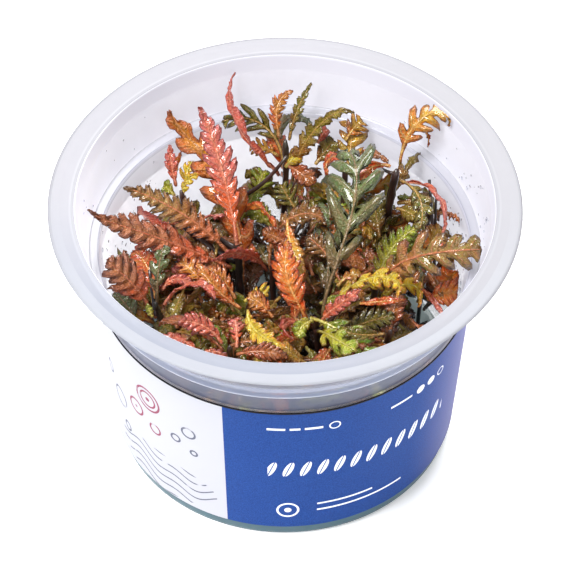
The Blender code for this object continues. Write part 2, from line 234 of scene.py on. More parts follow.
def joinAll(pieces):  # into the first
    bpy.ops.object.select_all(action="DESELECT")
    for piece in pieces:
        piece.select_set(True)
    bpy.context.view_layer.objects.active = pieces[0]
    bpy.ops.object.join()


def applyAll(piece):
    bpy.context.view_layer.objects.active = piece
    for modifier in list(piece.modifiers):
        bpy.ops.object.modifier_apply(modifier=modifier.name)


# Cup

cup = dict(height=65.0, rim=49.9, stepRadius=47.3, baseRadius=36.4, shoulderRadius=40.2,
           shoulderHeight=50.8, collarRadius=42.4, lipReach=1.7, wall=0.8, floor=2.0, foot=1.0,
           sides=160)


def wallRadius(height):  # outside of the tapered wall, below the shoulder
    share = height / cup["shoulderHeight"]
    return cup["baseRadius"] + (cup["shoulderRadius"] - cup["baseRadius"]) * share


def wallAt(height):  # radius of the cup's inner face
    if height < cup["shoulderHeight"] + 0.7:
        return wallRadius(height) - cup["wall"]
    low = cup["shoulderHeight"] + 1.7
    share = (height - low) / (cup["height"] - 0.8 - low)
    return cup["collarRadius"] - cup["wall"] + share * (cup["lipReach"] + cup["wall"])


def cupProfile():
    wall, collar, shoulder = cup["wall"], cup["collarRadius"], cup["shoulderRadius"]
    ledge, top, rim = cup["shoulderHeight"] + 1.2, cup["height"], cup["rim"]
    inside = [(20, cup["floor"]), (cup["baseRadius"] - wall - 1.2, cup["floor"]),
              (cup["baseRadius"] - wall - 0.4, cup["floor"] + 0.3),
              (wallRadius(3.2) - wall, 3.2)]
    inside += [(wallRadius(z) - wall, z) for z in (14, 26, 38, 46)]
    inside += [(shoulder - wall, ledge - 0.5), (shoulder - wall + 0.15, ledge - 0.15),
               (shoulder - wall + 0.5, ledge), (collar - wall - 0.5, ledge),
               (collar - wall - 0.12, ledge + 0.15), (collar - wall, ledge + 0.5)]
    lipFoot = collar + cup["lipReach"]
    flare = (lipFoot - (collar - wall)) / (top - 0.8 - ledge - 0.5)
    inside += [(collar - wall + flare * rise, ledge + 0.5 + rise) for rise in (4, 8)]
    step = cup["stepRadius"]
    lip = [(lipFoot, top - 0.8), (lipFoot + 0.02, top - 0.3), (lipFoot + 0.12, top - 0.09),
           (lipFoot + 0.4, top), (45.6, top), (step - 0.3, top), (step, top - 0.06),
           (step + 0.5, top - 0.07), (rim - 0.45, top - 0.1), (rim - 0.15, top - 0.2),
           (rim, top - 0.42), (rim, top - 0.6), (rim - 0.2, top - 0.85), (rim - 0.8, top - 0.95)]
    under = top - 1.7
    outside = [(rim - 1.6, top - 1.0), (collar + 3.4, under + 0.4), (collar + 2.6, under),
               (collar + 2.2, under - 0.9), (collar + 1.3, 58.0), (collar + 0.5, 55.6),
               (collar + 0.3, 55.2), (collar + 0.25, ledge + 0.6), (collar + 0.15, ledge),
               (collar - 0.1, ledge - 0.5), (collar - 0.7, ledge - 0.9),
               (shoulder + 0.6, ledge - 1.2), (shoulder + 0.15, ledge - 1.6),
               (shoulder, ledge - 2.1)]
    outside += [(wallRadius(z), z) for z in (46, 38, 26, 14, 3, 1.2)]
    base = cup["baseRadius"]
    foot = [(base - 0.05, 0.4), (base - 0.35, 0.08), (base - 0.8, 0), (base - 3.6, 0),
            (base - 4.2, 0.15), (base - 4.5, 0.6), (base - 4.9, cup["foot"]),
            (20, cup["foot"])]
    return inside + lip + outside + foot


# Plastic colours, 0 to 255: inside, with painted shade at its back and right and on the ledge
# and its edge line; on the rim, painted light and shade at its back, front and right and painted
# shade on its outer step and edges; outside on the collar, its painted shadow under the rim, the
# band over the wrap, a painted highlight line over that, the wall and the strip under the wrap; a
# painted glow for the light the milky plastic would pass on; and a faint cloud over all
plastic = dict(inside=(226, 226, 232), insideBack=(164, 163, 170), insideRight=(158, 158, 166),
               ledge=(150, 150, 160), ledgeShadeLine=(120, 122, 138), rimBack=(164, 163, 169),
               rimFront=(143, 147, 159), rimRight=(154, 153, 158), rimStepShade=(164, 166, 173),
               rimEdgeShade=(146, 146, 152), collar=(132, 144, 172), collarDark=(44, 54, 80),
               band=(71, 80, 106), shine=(206, 212, 228), wall=(186, 190, 202),
               strip=(24, 78, 92), paintedGlow=(172, 171, 180), cloud=(120, 124, 140))
plasticPaintedGlow = 0.95
bandFrom, bandTo, stripTo = 44.6, 50.6, 3.7
hazes = dict(behind=0.34, collar=0.16, rim=0.36, band=0.38, strip=0.6)  # over the wall's own
wallHaze = 0.36
ledgeZone = dict(low=51.6, high=52.3, inner=39.6, lineLow=50.9, lineInner=39.3, lineOuter=39.75)
rimInner = 44.3


def milkyPlastic():
    material, shader, place = newFinish("milkyPlastic", IOR=1.46, Coat_Roughness=0.2,
                                        Coat_Weight=0.06, Emission_Strength=plasticPaintedGlow)
    x, y, height = (place.node("SeparateXYZ", None, {0: place}, i) * 1000 for i in range(3))
    outside = place.node("Attribute", {"attribute_name": "outside"}, None, 2)
    colour = {key: tint(*value) for key, value in plastic.items()}
    out = place.math("SQRT", place.math("POWER", x, 2) + place.math("POWER", y, 2))

    # how much the parts cloud what lies behind them; the open top shows the inner faces behind
    parts = dict(behind=(1 - outside) * y.rise(-38, -20) * height.rise(22, 32),
                 collar=height.rise(50.9, 51.6), rim=height.rise(60.5, 63.0),
                 band=outside * height.over(bandFrom) * height.under(bandTo),
                 strip=outside * height.under(stripTo))
    haze = wallHaze
    for key, share in hazes.items():
        haze = haze + parts[key] * share
    cloud = noise(place, 160, 4)
    drive(shader, haze + (cloud - 0.5) * 0.10, "Alpha")

    outer = height.over(bandFrom).pick(colour["wall"], colour["band"])
    outer = parts["strip"].pick(outer, colour["strip"])
    # a painted highlight line, the collar, and a painted shadow under the rim
    for key, low, high in (("shine", 50.9, 51.3), ("collar", 51.9, 52.3),
                           ("collarDark", 54.4, 55.4)):
        outer = height.rise(low, high).pick(outer, colour[key])
    # painted shade: the inside is toned darker at its back and right, for how light falls there
    inside = y.rise(5, 36).pick(colour["inside"], colour["insideBack"])
    inside = (x.rise(8, 36) * 0.85).pick(inside, colour["insideRight"])
    # painted shade on the flat ledge and along its edge line
    flatLedge = (out.over(ledgeZone["inner"]) * height.over(ledgeZone["low"])
                 * height.under(ledgeZone["high"]))
    inside = flatLedge.pick(inside, colour["ledge"])
    edge = (out.over(ledgeZone["lineInner"]) * out.under(ledgeZone["lineOuter"])
            * height.over(ledgeZone["lineLow"]) * height.under(ledgeZone["high"]))
    inside = (edge * 0.8).pick(inside, colour["ledgeShadeLine"])
    flow = outside.pick(inside, outer)
    # painted light and shade: the rim is toned at its front, back, right, outer step and edges
    front = y.rise(-44, 10)
    rim = front.pick(colour["rimFront"], colour["rimBack"])
    rim = (x.rise(0, 40) * 0.8).pick(rim, colour["rimRight"])
    rim = (out.over(cup["stepRadius"]) * (1 - front) * 0.8).pick(rim, colour["rimStepShade"])
    lips = place.math("MAXIMUM", out.over(cup["rim"] - 0.7), out.under(rimInner + 0.7))
    rim = (lips * front * 0.8).pick(rim, colour["rimEdgeShade"])
    onRim = place.math("MAXIMUM", outside, out.over(rimInner)) * parts["rim"]
    flow = onRim.pick(flow, rim)
    flow = ((noise(place, 45, 3) - 0.5) * 0.12).pick(flow, colour["cloud"])
    drive(shader, flow, "Base Color")
    # painted glow: inner faces behind give off light in place of light passing through the wall
    paintedGlowMask = parts["behind"] * (1 - onRim) * (1 - flatLedge * 0.6)
    drive(shader, paintedGlowMask.pick((0, 0, 0, 1), colour["paintedGlow"]), "Emission Color")
    drive(shader, 0.26 + parts["rim"] * 0.25 + cloud * 0.16, "Roughness")
    drive(shader, bump(place, noise(place, 260, 2), 0.00004), "Normal")
    return material


def makeCup():
    piece = turnedPiece("cupShell", cupProfile(), cup["sides"])
    layer = piece.data.attributes.new("outside", "FLOAT", "POINT")
    middle = cup["wall"] / 2
    layer.data.foreach_set("value", [
        float(math.hypot(v.co.x, v.co.y) / mm > wallAt(v.co.z / mm) + middle)
        for v in piece.data.vertices])
    piece.data.materials.append(milkyPlastic())
    settle(piece, "clear_plastic", "cup")


# Printed wrap round the front of the cup, blue with a white part to the left of whiteTo degrees

wrap = dict(bottom=3.45, top=44.3, clearance=0.35, thickness=0.22, sides=180, reach=100,
            whiteTo=-18.7, radius=39.0, paintedShadowLine=0.4)


def makeWrap():
    profile = [(wallRadius(z) + wrap["clearance"], z) for z in
               (wrap["bottom"], 12, 22, 33, wrap["top"])]
    piece = turnedPiece("printedWrap", profile, wrap["sides"], openEnds=True)
    doomed = [p.index for p in piece.data.polygons
              if abs(math.degrees(math.atan2(p.center.x, -p.center.y))) > wrap["reach"]]
    bpy.ops.object.mode_set(mode="EDIT")
    bpy.ops.mesh.select_mode(type="FACE")
    bpy.ops.mesh.select_all(action="DESELECT")
    bpy.ops.object.mode_set(mode="OBJECT")
    for index in doomed:
        piece.data.polygons[index].select = True
    bpy.ops.object.mode_set(mode="EDIT")
    bpy.ops.mesh.delete(type="FACE")
    bpy.ops.mesh.select_all(action="SELECT")
    bpy.ops.mesh.normals_make_consistent(inside=False)
    bpy.ops.object.mode_set(mode="OBJECT")
    solid = piece.modifiers.new("thickness", "SOLIDIFY")
    solid.thickness = wrap["thickness"] * mm
    solid.offset = 1
    applyAll(piece)
    piece.data.shade_smooth()
    piece.data.set_sharp_from_angle(angle=math.radians(40))
    piece.data.materials.append(printedFilm())
    settle(piece, "label_print", "label")


# Print colours, 0 to 255, and its marks. Bars: centre, width, height up the wrap and thickness;
# rings: centre, height, radius and line; spots: centre, height and radius; all in mm
inks = dict(blue=(28, 72, 144), deepBlue=(15, 54, 124), lilac=(150, 146, 190),
            white=(238, 242, 250), paper=(190, 191, 199), pink=(138, 34, 70),
            # paintedShadowLine is a painted shadow along the wrap's top edge, not print
            slate=(40, 46, 80), inner=(238, 239, 246), paintedShadowLine=(14, 15, 22))
border = dict(pitch=3.7, height=24.4, lean=0.32, wide=0.95, tall=2.5, vein=0.13, centre=18.8,
              reach=22.2)
whiteMarks = dict(
    bars=((-1.6, 3.8, 38.7, 0.7), (2.3, 2.2, 38.7, 0.7), (6.2, 3.8, 38.7, 0.7),
          (26.2, 5.6, 37.6, 0.65), (18.0, 21.0, 9.0, 0.55), (14.0, 13.0, 11.2, 0.55)),
    rings=((10.6, 38.7, 1.1, 0.32), (38.1, 37.6, 1.0, 0.3), (1.0, 9.6, 2.3, 0.5)),
    spots=((31.5, 37.6, 1.15), (34.8, 37.6, 1.15), (1.0, 9.6, 0.8)))
slateMarks = dict(rings=((-21, 30, 1.6, 0.5), (-24.5, 26, 1.1, 0.5), (-20, 23.5, 0.8, 0.5),
                         (-44, 22, 2.6, 0.5), (-49, 27, 1.5, 0.5), (-42, 14, 1.2, 0.5)))
pinkMarks = dict(rings=((-32, 33, 3.4, 0.55), (-32, 33, 2.2, 0.5), (-36.5, 26.5, 2.2, 0.55),
                        (-30.5, 24, 1.5, 0.5)),
                 spots=((-32, 33, 0.6), (-36.5, 26.5, 0.4)))


def printedFilm():
    material, shader, place = newFinish("printedFilm", Specular_IOR_Level=0.12)
    x, y, z = (place.node("SeparateXYZ", None, {0: place}, i) for i in range(3))
    angle = place.math("ARCTAN2", x, y * -1)
    across = angle * wrap["radius"]  # mm along the wrap, 0 at the front
    up = z * 1000
    ink = {key: tint(*value) for key, value in inks.items()}

    def squares(first, second):
        return place.math("POWER", first, 2) + place.math("POWER", second, 2)

    def bar(centre, width, height, tall):
        return abs(across - centre).under(width / 2) * abs(up - height).under(tall / 2)

    def spot(centre, height, radius):
        return place.math("SQRT", squares(across - centre, up - height)).under(radius)

    def ring(centre, height, radius, line):
        far = place.math("SQRT", squares(across - centre, up - height))
        return abs(far - radius).under(line / 2)

    def drawn(marks):
        return sum(draw(*values) for key, draw in (("bars", bar), ("rings", ring), ("spots", spot))
                   for values in marks.get(key, ()))

    # on the blue: a border of small leaf shapes, bars, rings and dots
    above = up - border["height"]
    pitch = border["pitch"]
    local = (place.math("FLOORED_MODULO", across + 60, pitch) - pitch / 2) - above * border["lean"]
    leafShape = squares(local / border["wide"], above / border["tall"]).under(1)
    inBorder = abs(across - border["centre"]).under(border["reach"])
    marks = leafShape * abs(local).over(border["vein"]) * inBorder + drawn(whiteMarks)

    # on the white: rings and ripples
    ripple = place.math("SINE", across * 0.55) * 0.8 + place.math("SINE", across * 0.21) * 1.3
    lines = abs(place.math("FRACT", (up + ripple) / 2.6) - 0.5).under(0.08)
    pond = squares((across + 30) / 15, (up - 10) / 6.5).under(1)
    slate = lines * pond + drawn(slateMarks)
    pink = drawn(pinkMarks)
    fade = noise(place, 300, 2).rise(0.25, 0.42)

    grain = noise(place, 4200, 2)
    blue = grain.rise(0.35, 0.65).pick(ink["deepBlue"], ink["blue"])
    blue = (angle.rise(0.75, 1.5) * 0.7).pick(blue, ink["lilac"])
    blue = place.math("MINIMUM", marks, 1).pick(blue, ink["white"])
    white = (place.math("MINIMUM", slate, 1) * fade * 0.8).pick(ink["paper"], ink["slate"])
    white = (place.math("MINIMUM", pink, 1) * fade * 0.9).pick(white, ink["pink"])
    printed = angle.under(math.radians(wrap["whiteTo"])).pick(blue, white)

    # the inner side of the film is plain
    slope = (cup["shoulderRadius"] - cup["baseRadius"]) / cup["shoulderHeight"]
    middle = up * slope + cup["baseRadius"] + wrap["clearance"] + wrap["thickness"] / 2
    far = place.math("SQRT", squares(x, y))
    printed = (far * 1000 - middle).over(0).pick(ink["inner"], printed)
    # painted shadow: a dark line along the wrap's top edge
    printed = up.over(wrap["top"] - wrap["paintedShadowLine"]).pick(printed, ink["paintedShadowLine"])
    drive(shader, printed, "Base Color")
    drive(shader, 0.5 + grain * 0.14, "Roughness")
    drive(shader, bump(place, grain, 0.00003), "Normal")
    return material


# Gel

gel = dict(height=13.0, gap=0.35, sides=120, body=(176, 192, 190), cloud=(120, 140, 138))


def agarJelly():
    material, shader, place = newFinish("agarJelly", IOR=1.34)
    clouds = noise(place, 90, 4).rise(0.35, 0.7)
    drive(shader, clouds.pick(tint(*gel["body"]), tint(*gel["cloud"])), "Base Color")
    drive(shader, 0.08 + clouds * 0.15, "Roughness")
    drive(shader, bump(place, noise(place, 140, 2), 0.0003), "Normal")
    return material


def makeGel():
    top, gap, floor = gel["height"], gel["gap"], cup["floor"]
    side = wallRadius(top) - cup["wall"] - gap
    base = cup["baseRadius"] - cup["wall"]
    profile = [(15, top - 0.4), (26, top - 0.3), (side - 1.6, top - 0.2), (side - 0.3, top),
               (side, top - 0.1), (base - 0.6, floor + 1.4), (base - 0.9, floor + 0.7),
               (base - 1.5, floor + gap), (15, floor + gap)]
    piece = turnedPiece("agarGel", profile, gel["sides"])
    piece.data.materials.append(agarJelly())
    settle(piece, "agar", "gel")


# Condensation: small drops on the inner wall, thickest low at both sides. Angles in degrees from
# +X, heights and radii in mm; lowShare and smallShare say how many are low and small

drops = dict(seed=5, count=300, segments=8, rings=6, flat=0.45, tall=(1.0, 1.7), sink=0.12,
             angles=(172, 8, 8, 18, 25, 150), spread=12, lowShare=0.88, lowHeight=(22, 50),
             highHeight=(53.5, 60), smallShare=0.8, small=(0.1, 0.24), large=(0.24, 0.55))


def clearWater():
    material, shader, place = newFinish("clearWater", IOR=1.33, Roughness=0.02,
                                        Transmission_Weight=1.0)
    drive(shader, noise(place, 400).pick(tint(225, 228, 236), tint(245, 247, 250)), "Base Color")
    return material


def makeDrops():
    dice = random.Random(drops["seed"])
    bpy.ops.mesh.primitive_uv_sphere_add(segments=drops["segments"], ring_count=drops["rings"],
                                         radius=mm)
    piece = bpy.context.object
    piece.name = "condensation"
    bpy.ops.object.mode_set(mode="EDIT")
    bpy.ops.mesh.select_all(action="SELECT")
    bpy.ops.transform.resize(value=(1, drops["flat"], 1), center_override=(0, 0, 0))
    bpy.ops.object.mode_set(mode="OBJECT")
    shape = np.array([v.co for v in piece.data.vertices])
    faces = [tuple(p.vertices) for p in piece.data.polygons]
    points, joined = [], []
    for i in range(drops["count"]):
        turn = math.radians(dice.choice(drops["angles"]) + dice.gauss(0, drops["spread"]))
        low = dice.random() < drops["lowShare"]
        height = dice.uniform(*drops["lowHeight" if low else "highHeight"])
        size = dice.uniform(*drops["small" if dice.random() < drops["smallShare"] else "large"])
        out = (wallAt(height) - drops["sink"]) * mm
        tall = dice.uniform(*drops["tall"])
        local = shape * np.array([size, size, size * tall])
        around = np.array([[math.sin(turn), -math.cos(turn)], [math.cos(turn), math.sin(turn)]])
        flat = local[:, 0:1] * around[0] * -1 + local[:, 1:2] * around[1]
        centre = np.array([math.cos(turn) * out, math.sin(turn) * out])
        first = len(points) * len(shape)
        points.append(np.column_stack([flat + centre, local[:, 2] + height * mm]))
        joined += [tuple(v + first for v in face) for face in faces]
    mesh = bpy.data.meshes.new("condensation")
    mesh.from_pydata(np.vstack(points), [], joined)
    piece.data = mesh
    bpy.ops.object.mode_set(mode="EDIT")
    bpy.ops.mesh.select_all(action="SELECT")
    bpy.ops.mesh.normals_make_consistent(inside=False)
    bpy.ops.object.mode_set(mode="OBJECT")
    mesh.shade_smooth()
    mesh.materials.append(clearWater())
    settle(piece, "clear_plastic")


makeCup()
makeWrap()
makeGel()
makeDrops()
print("cup, wrap, gel and drops are made")


# Stems: foot (x, y), crown (x, y, z) and radius in mm

stems = {
    "a": dict(foot=(-24.5, -4.5), top=(-27.5, -7.5, 42), radius=0.9),
    "b": dict(foot=(-9, 4.5), top=(-10, 7.5, 42), radius=1.1),
    "c": dict(foot=(0, 27), top=(0, 31, 52), radius=1.0),
    "d": dict(foot=(20, 17.5), top=(24, 20.5, 54), radius=1.2),
    "e": dict(foot=(7.5, -7.5), top=(6.5, -11.5, 42), radius=1.0),
    "f": dict(foot=(17.5, -1.5), top=(19.5, -2.5, 42), radius=1.0),
    "g": dict(foot=(29.5, 13), top=(31.5, 18, 46), radius=0.6),
    "h": dict(foot=(-19.5, 16.5), top=(-22.5, 19.5, 48), radius=0.9),
    "i": dict(foot=(-10.5, -16.5), top=(-11.5, -21.5, 44), radius=0.9),
    "j": dict(foot=(19.5, -11), top=(22.5, -15, 42), radius=0.9),
    "k": dict(foot=(-2.5, 9), top=(-2.5, 8, 38), radius=0.9),
    "l": dict(foot=(-8.5, -5.5), top=(-7.5, -7.5, 42), radius=0.9),
    "m": dict(foot=(12, 21), top=(13, 25, 50), radius=0.9),
}
rootHeight = 8.0


def stemPoint(stem, share):  # metres, on the stem's centre line, which leans more towards its top
    foot, top = stem["foot"], stem["top"]
    lean = share * share
    x = foot[0] + (top[0] - foot[0]) * lean
    y = foot[1] + (top[1] - foot[1]) * lean
    return Vector((x, y, rootHeight + (top[2] - rootHeight) * share)) * mm


def tubes(name, lines):  # round rods along lists of (point in metres, radius in metres)
    curve = bpy.data.curves.new(name, "CURVE")
    curve.dimensions = "3D"
    curve.bevel_depth = mm
    curve.bevel_resolution = 1
    curve.use_fill_caps = True
    for line in lines:
        spline = curve.splines.new("POLY")
        spline.points.add(len(line) - 1)
        for place, (point, radius) in zip(spline.points, line):
            place.co = (*point, 1)
            place.radius = radius / mm
    piece = bpy.data.objects.new(name, curve)
    bpy.context.scene.collection.objects.link(piece)
    bpy.ops.object.select_all(action="DESELECT")
    piece.select_set(True)
    bpy.context.view_layer.objects.active = piece
    bpy.ops.object.convert(target="MESH")
    bpy.ops.object.mode_set(mode="EDIT")
    bpy.ops.mesh.select_all(action="SELECT")
    bpy.ops.mesh.remove_doubles(threshold=0.000001)
    bpy.ops.mesh.normals_make_consistent(inside=False)
    bpy.ops.object.mode_set(mode="OBJECT")
    piece.data.shade_smooth()
    return piece


stemLook = dict(steps=26, joints=(0.3, 0.52, 0.7, 0.84, 0.94), swell=0.28, swellReach=0.025,
                taper=0.25, slim=0.85, crown=0.55, wander=0.25,
                dark=(16, 11, 11), warm=(62, 34, 24), green=(38, 42, 24))


def wetStem():
    material, shader, place = newFinish("wetStem", Coat_Roughness=0.1, Coat_Weight=0.6)
    streaks = noise(place, 130, 4, 0.6)
    patches = noise(place, 55, 2)
    colour = streaks.rise(0.35, 0.7).pick(tint(*stemLook["dark"]), tint(*stemLook["warm"]))
    colour = (patches.rise(0.5, 0.75) * 0.7).pick(colour, tint(*stemLook["green"]))
    drive(shader, colour, "Base Color")
    drive(shader, 0.3 + streaks * 0.3, "Roughness")
    drive(shader, bump(place, noise(place, 700, 3), 0.0002), "Normal")
    return material


petioleLook = dict(steps=6, sag=0.12, thin=0.75, thicken=0.35)
petioles = {  # dark leaf stalks that show between the leaves: ends and radius in mm
    "leftUpper": dict(ends=((-21.9, 11.4, 46), (-9.8, 8.1, 38)), radius=0.95),
    "leftLower": dict(ends=((-18.2, 12.5, 46), (-10.2, 9.8, 40)), radius=0.75),
    "centre": dict(ends=((3.2, 11.7, 46), (-2.9, 8.1, 36)), radius=0.6),
    "back": dict(ends=((0.3, 28.1, 50), (-9.1, 25.6, 40)), radius=0.5),
    "rightTall": dict(ends=((31.1, 21.3, 50), (32.7, 9.5, 38)), radius=0.45),
    "rightShort": dict(ends=((32.5, 17.7, 50), (32.3, 7.8, 36)), radius=0.35),
    "trunkLeft": dict(ends=((18.8, 22.9, 54), (23.4, 20.2, 53)), radius=0.4),
    "front": dict(ends=((12.5, -9.5, 44), (6.4, -11.4, 37)), radius=0.5),
    "leftLow": dict(ends=((-28.8, -0.9, 45), (-27.3, -6.9, 37)), radius=0.5),
}


def makePetioles(skin):
    lines = []
    shares = [i / petioleLook["steps"] for i in range(petioleLook["steps"] + 1)]
    for petiole in petioles.values():
        start, end = (Vector(place) * mm for place in petiole["ends"])
        sag = Vector((0, 0, (start - end).length * petioleLook["sag"]))
        lines.append([(start.lerp(end, share) - sag * math.sin(math.pi * share),
                       petiole["radius"] * mm
                       * (petioleLook["thin"] + petioleLook["thicken"] * share))
                      for share in shares])
    piece = tubes("petioles", lines)
    piece.data.materials.append(skin)
    settle(piece, "stem")


def makeStems():
    skin = wetStem()
    makePetioles(skin)
    for letter, stem in stems.items():
        line = []
        for i in range(stemLook["steps"] + 1):
            share = i / stemLook["steps"]
            near = min(abs(share - joint) for joint in stemLook["joints"])
            swell = 1 + stemLook["swell"] * math.exp(-(near / stemLook["swellReach"]) ** 2)
            slim = (1 - stemLook["taper"] * share) * swell * stemLook["slim"]
            radius = stem["radius"] * mm * slim
            if i == stemLook["steps"]:
                radius *= stemLook["crown"]
            wander = Vector((math.sin(share * 9 + stem["foot"][0]),
                             math.cos(share * 8 + stem["foot"][1]), 0)) * stemLook["wander"] * mm
            line.append((stemPoint(stem, share) + wander * math.sin(math.pi * share), radius))
        piece = tubes("stem" + letter.upper(), [line])
        piece.data.materials.append(skin)
        settle(piece, "stem", "stem_" + letter)


# Leaves. Each has its place, its way, its size, its cut, its pairs of lobes and its look:
# - place: the stem and how far up it the leaf starts, or the start's x, y and z in mm
# - way, in degrees: heading from +X towards +Y, rise above level, droop and sway by the tip, roll
# - size: length and width in mm
# More can be set: taper towards the tip, hook of the last part, tone of its colour, 0 to 1

def sprout(place, way, size, cut, lobes, look, **more):
    leaf = dict(zip(("heading", "rise", "droop", "sway", "roll"), way),
                length=size[0], width=size[1], cut=cut, lobes=lobes, look=look, **more)
    if len(place) == 3:
        return dict(leaf, start=place)
    return dict(leaf, stem=place[0], at=place[1])


leaves = {
    "rose_tall": sprout(("b", 1.00), (101, 49, 15, 19, 5), (31, 8), "feather", 9, "rose",
        taper=0.5),
    "fern_left": sprout(("b", 0.95), (166, 55, 35, 10, 40), (29.5, 7.5), "fern", 11, "tan",
        taper=0.4),
    "bronze_left": sprout(("b", 0.87), (186, 38, -2, 20, 35), (41, 8.5), "feather", 10, "clay",
        taper=0.7, hook=-22, tone=0.1),
    "amber_left": sprout(("b", 0.62), (83, 57, 28, 82, -20), (44.5, 12), "oak", 5, "amber",
        taper=0.62, hook=-60, tone=0.1),
    "orange_arch": sprout(("k", 1.00), (76, 94, 159, 85, 70), (19, 3.6), "feather", 5, "orange"),
    "rose_broad": sprout(("a", 1.00), (-150, 75, 29, -40, 85), (17.5, 9.5), "feather", 6, "clay",
        tone=0.2),
    "grey_rib": sprout(("a", 0.93), (92, 76, 41, -23, 5), (13, 5), "oak", 3, "grey"),
    "red_arch": sprout(("a", 0.94), (34, 58, 53, -116, 65), (18, 4), "feather", 5, "rose"),
    "olive_low": sprout(("a", 0.86), (167, 49, 38, -5, 45), (7.5, 4), "oak", 2, "olive"),
    "rose_thin": sprout(("c", 0.80), (-151, 65, 43, -142, 155), (29, 3.2), "strap", 0, "rose",
        taper=-0.7),
    "olive_back": sprout(("c", 0.82), (103, 66, 68, 114, 5), (20, 6.5), "leaflet", 5, "olive"),
    "upright_back": sprout(("c", 1.00), (149, 89, 78, -134, 55), (12.5, 3.6), "fern", 6, "amber"),
    "narrow_back": sprout(("c", 0.97), (62, 74, 44, -12, -15), (14, 2.6), "fern", 6, "olive"),
    "grey_arch": sprout(("c", 0.98), (120, 27, 51, -206, 30), (12.5, 4.2), "strap", 0, "grey"),
    "olive_long": sprout(("c", 0.70), (37, 86, 49, -49, -30), (28, 4.2), "fern", 7, "olive",
        hook=60),
    "green_deep": sprout(("c", 0.55), (144, 82, 59, 28, 30), (13, 6), "oak", 3, "olive"),
    "olive_right": sprout(("d", 1.00), (68, 86, 111, -81, 10), (24, 9), "oak", 6, "golden",
        taper=0.7, hook=56, tone=0.1),
    "rose_right": sprout(("d", 1.00), (150, 4, 39, 138, 60), (9.5, 4.5), "feather", 5, "orange"),
    "olive_droop": sprout(("d", 0.96), (-45, 18, 30, -62, 0), (16.5, 5.5), "oak", 4, "olive"),
    "red_droop": sprout(("d", 0.93), (-12, 25, 52, -101, 60), (21, 3), "strap", 0, "rose"),
    "orange_centre": sprout(("e", 0.93), (169, 71, 59, -104, 60), (19.5, 8), "feather", 8,
        "orange", taper=0.5),
    "grey_large": sprout(("e", 0.92), (37, 91, 131, 75, -40), (50, 13.5), "leaflet", 5, "grey"),
    "tan_rib": sprout(("e", 0.64), (79, 34, 39, 17, -5), (42.5, 8), "leaflet", 4, "grey"),
    "red_side": sprout(("e", 1.00), (-48, 71, 40, 81, -70), (14.5, 4), "feather", 6, "rose"),
    "lime_low": sprout(("e", 0.90), (-77, 51, 41, 31, -55), (19.5, 6.5), "oak", 3, "lime"),
    "red_curl": sprout(("e", 0.84), (168, 50, 41, 153, -10), (15.5, 2.6), "strap", 0, "rose"),
    "bronze_large": sprout(("f", 1.00), (-47, 86, 90, 51, -75), (33, 10.5), "oak", 6, "tan",
        taper=0.0),
    "lime_feather": sprout(("f", 0.87), (76, 68, 50, -63, -5), (19, 6), "fern", 8, "lime"),
    "yellow_arch": sprout(("e", 0.80), (64, 53, 32, -177, 40), (35.5, 4.6), "oak", 6, "yellow"),
    "peach_tip": sprout(("f", 0.62), (49, 82, 80, -159, 20), (26, 4.6), "oak", 5, "yellow"),
    "orange_round": sprout(("g", 0.27), (-55, 66, 5, -9, -115), (26.5, 8.5), "broad", 4, "orange",
        tone=0.05),
    "rosy_left": sprout(("h", 1.00), (128, 74, 33, -38, 30), (9.5, 3), "feather", 4, "rose"),
    "yellow_left": sprout(("h", 0.90), (100, 80, 60, -121, 25), (8, 2.6), "oak", 2, "yellow"),
    "pink_front": sprout(("i", 1.00), (154, 61, 57, 36, 30), (11.5, 5), "feather", 6, "rose"),
    "brown_curve": sprout(("i", 0.91), (158, 57, 127, -19, 85), (20, 3), "strap", 0, "bronze"),
    "olive_front": sprout(("j", 1.00), (-143, 26, 29, -63, 55), (10.5, 3.6), "feather", 5,
        "olive"),
    "brown_fern": sprout(("k", 0.84), (112, 69, 61, -188, 70), (24.5, 5.6), "fern", 9, "bronze"),
    "red_thin": sprout(("k", 0.94), (-143, 70, 51, 19, 80), (24.5, 3.2), "feather", 9, "rose"),
    "olive_orange": sprout(("l", 0.93), (172, 39, 23, -60, 50), (14, 5), "feather", 6, "amber"),
    "yellow_twist": sprout(("l", 1.00), (-98, 17, 15, 80, -50), (17, 4.4), "feather", 7, "yellow"),
    "oak_yellow": sprout(("m", 0.92), (75, 53, 39, 13, -10), (12, 8), "oak", 3, "golden"),
    "orange_strap": sprout(("m", 1.00), (175, 117, 210, 116, 10), (11, 2.4), "strap", 0, "orange"),
    "brown_side": sprout(("m", 0.86), (97, 41, 54, -151, 40), (15, 3.6), "feather", 5, "bronze"),
}

# Each cut: the stalk's share, how far the lobes lean forward, how much is left between two lobes,
# how wide the gap is and how far a lobe narrows at its base, how square its end is, how jagged
# the edge is, how far the halves fold up, and the start, cap and powers of the width's curve
cuts = {
    "feather": dict(stalk=0.12, lean=1.0, notch=0.52, gap=0.06, pinch=0.03, square=2.6, jag=0.04,
                    fold=0.16, curve=(0, 0.95, 0.85, 0.75)),
    "oak": dict(stalk=0.20, lean=0.75, notch=0.27, gap=0.22, pinch=0.14, square=2.8, jag=0.02,
                fold=0.08, curve=(0.08, 0.94, 1.05, 0.55)),
    "fern": dict(stalk=0.14, lean=0.8, notch=0.46, gap=0.14, pinch=0.06, square=2.6, jag=0.11,
                 fold=0.14, curve=(0, 0.955, 0.8, 0.7)),
    "leaflet": dict(stalk=0.24, lean=1.25, notch=0.07, gap=0.16, pinch=0.55, square=2.0, jag=0.0,
                    fold=0.06, curve=(0.08, 0.94, 1.05, 0.55)),
    "broad": dict(stalk=0.16, lean=0.6, notch=0.74, gap=0.10, pinch=0.0, square=2.2, jag=0.05,
                  fold=0.22, curve=(0.08, 0.94, 1.05, 0.55)),
    "strap": dict(stalk=0.10, lean=0.2, notch=0.80, gap=0.20, pinch=0.0, square=2.0, jag=0.05,
                  fold=0.15, curve=(0, 0.955, 0.8, 0.7)),
}

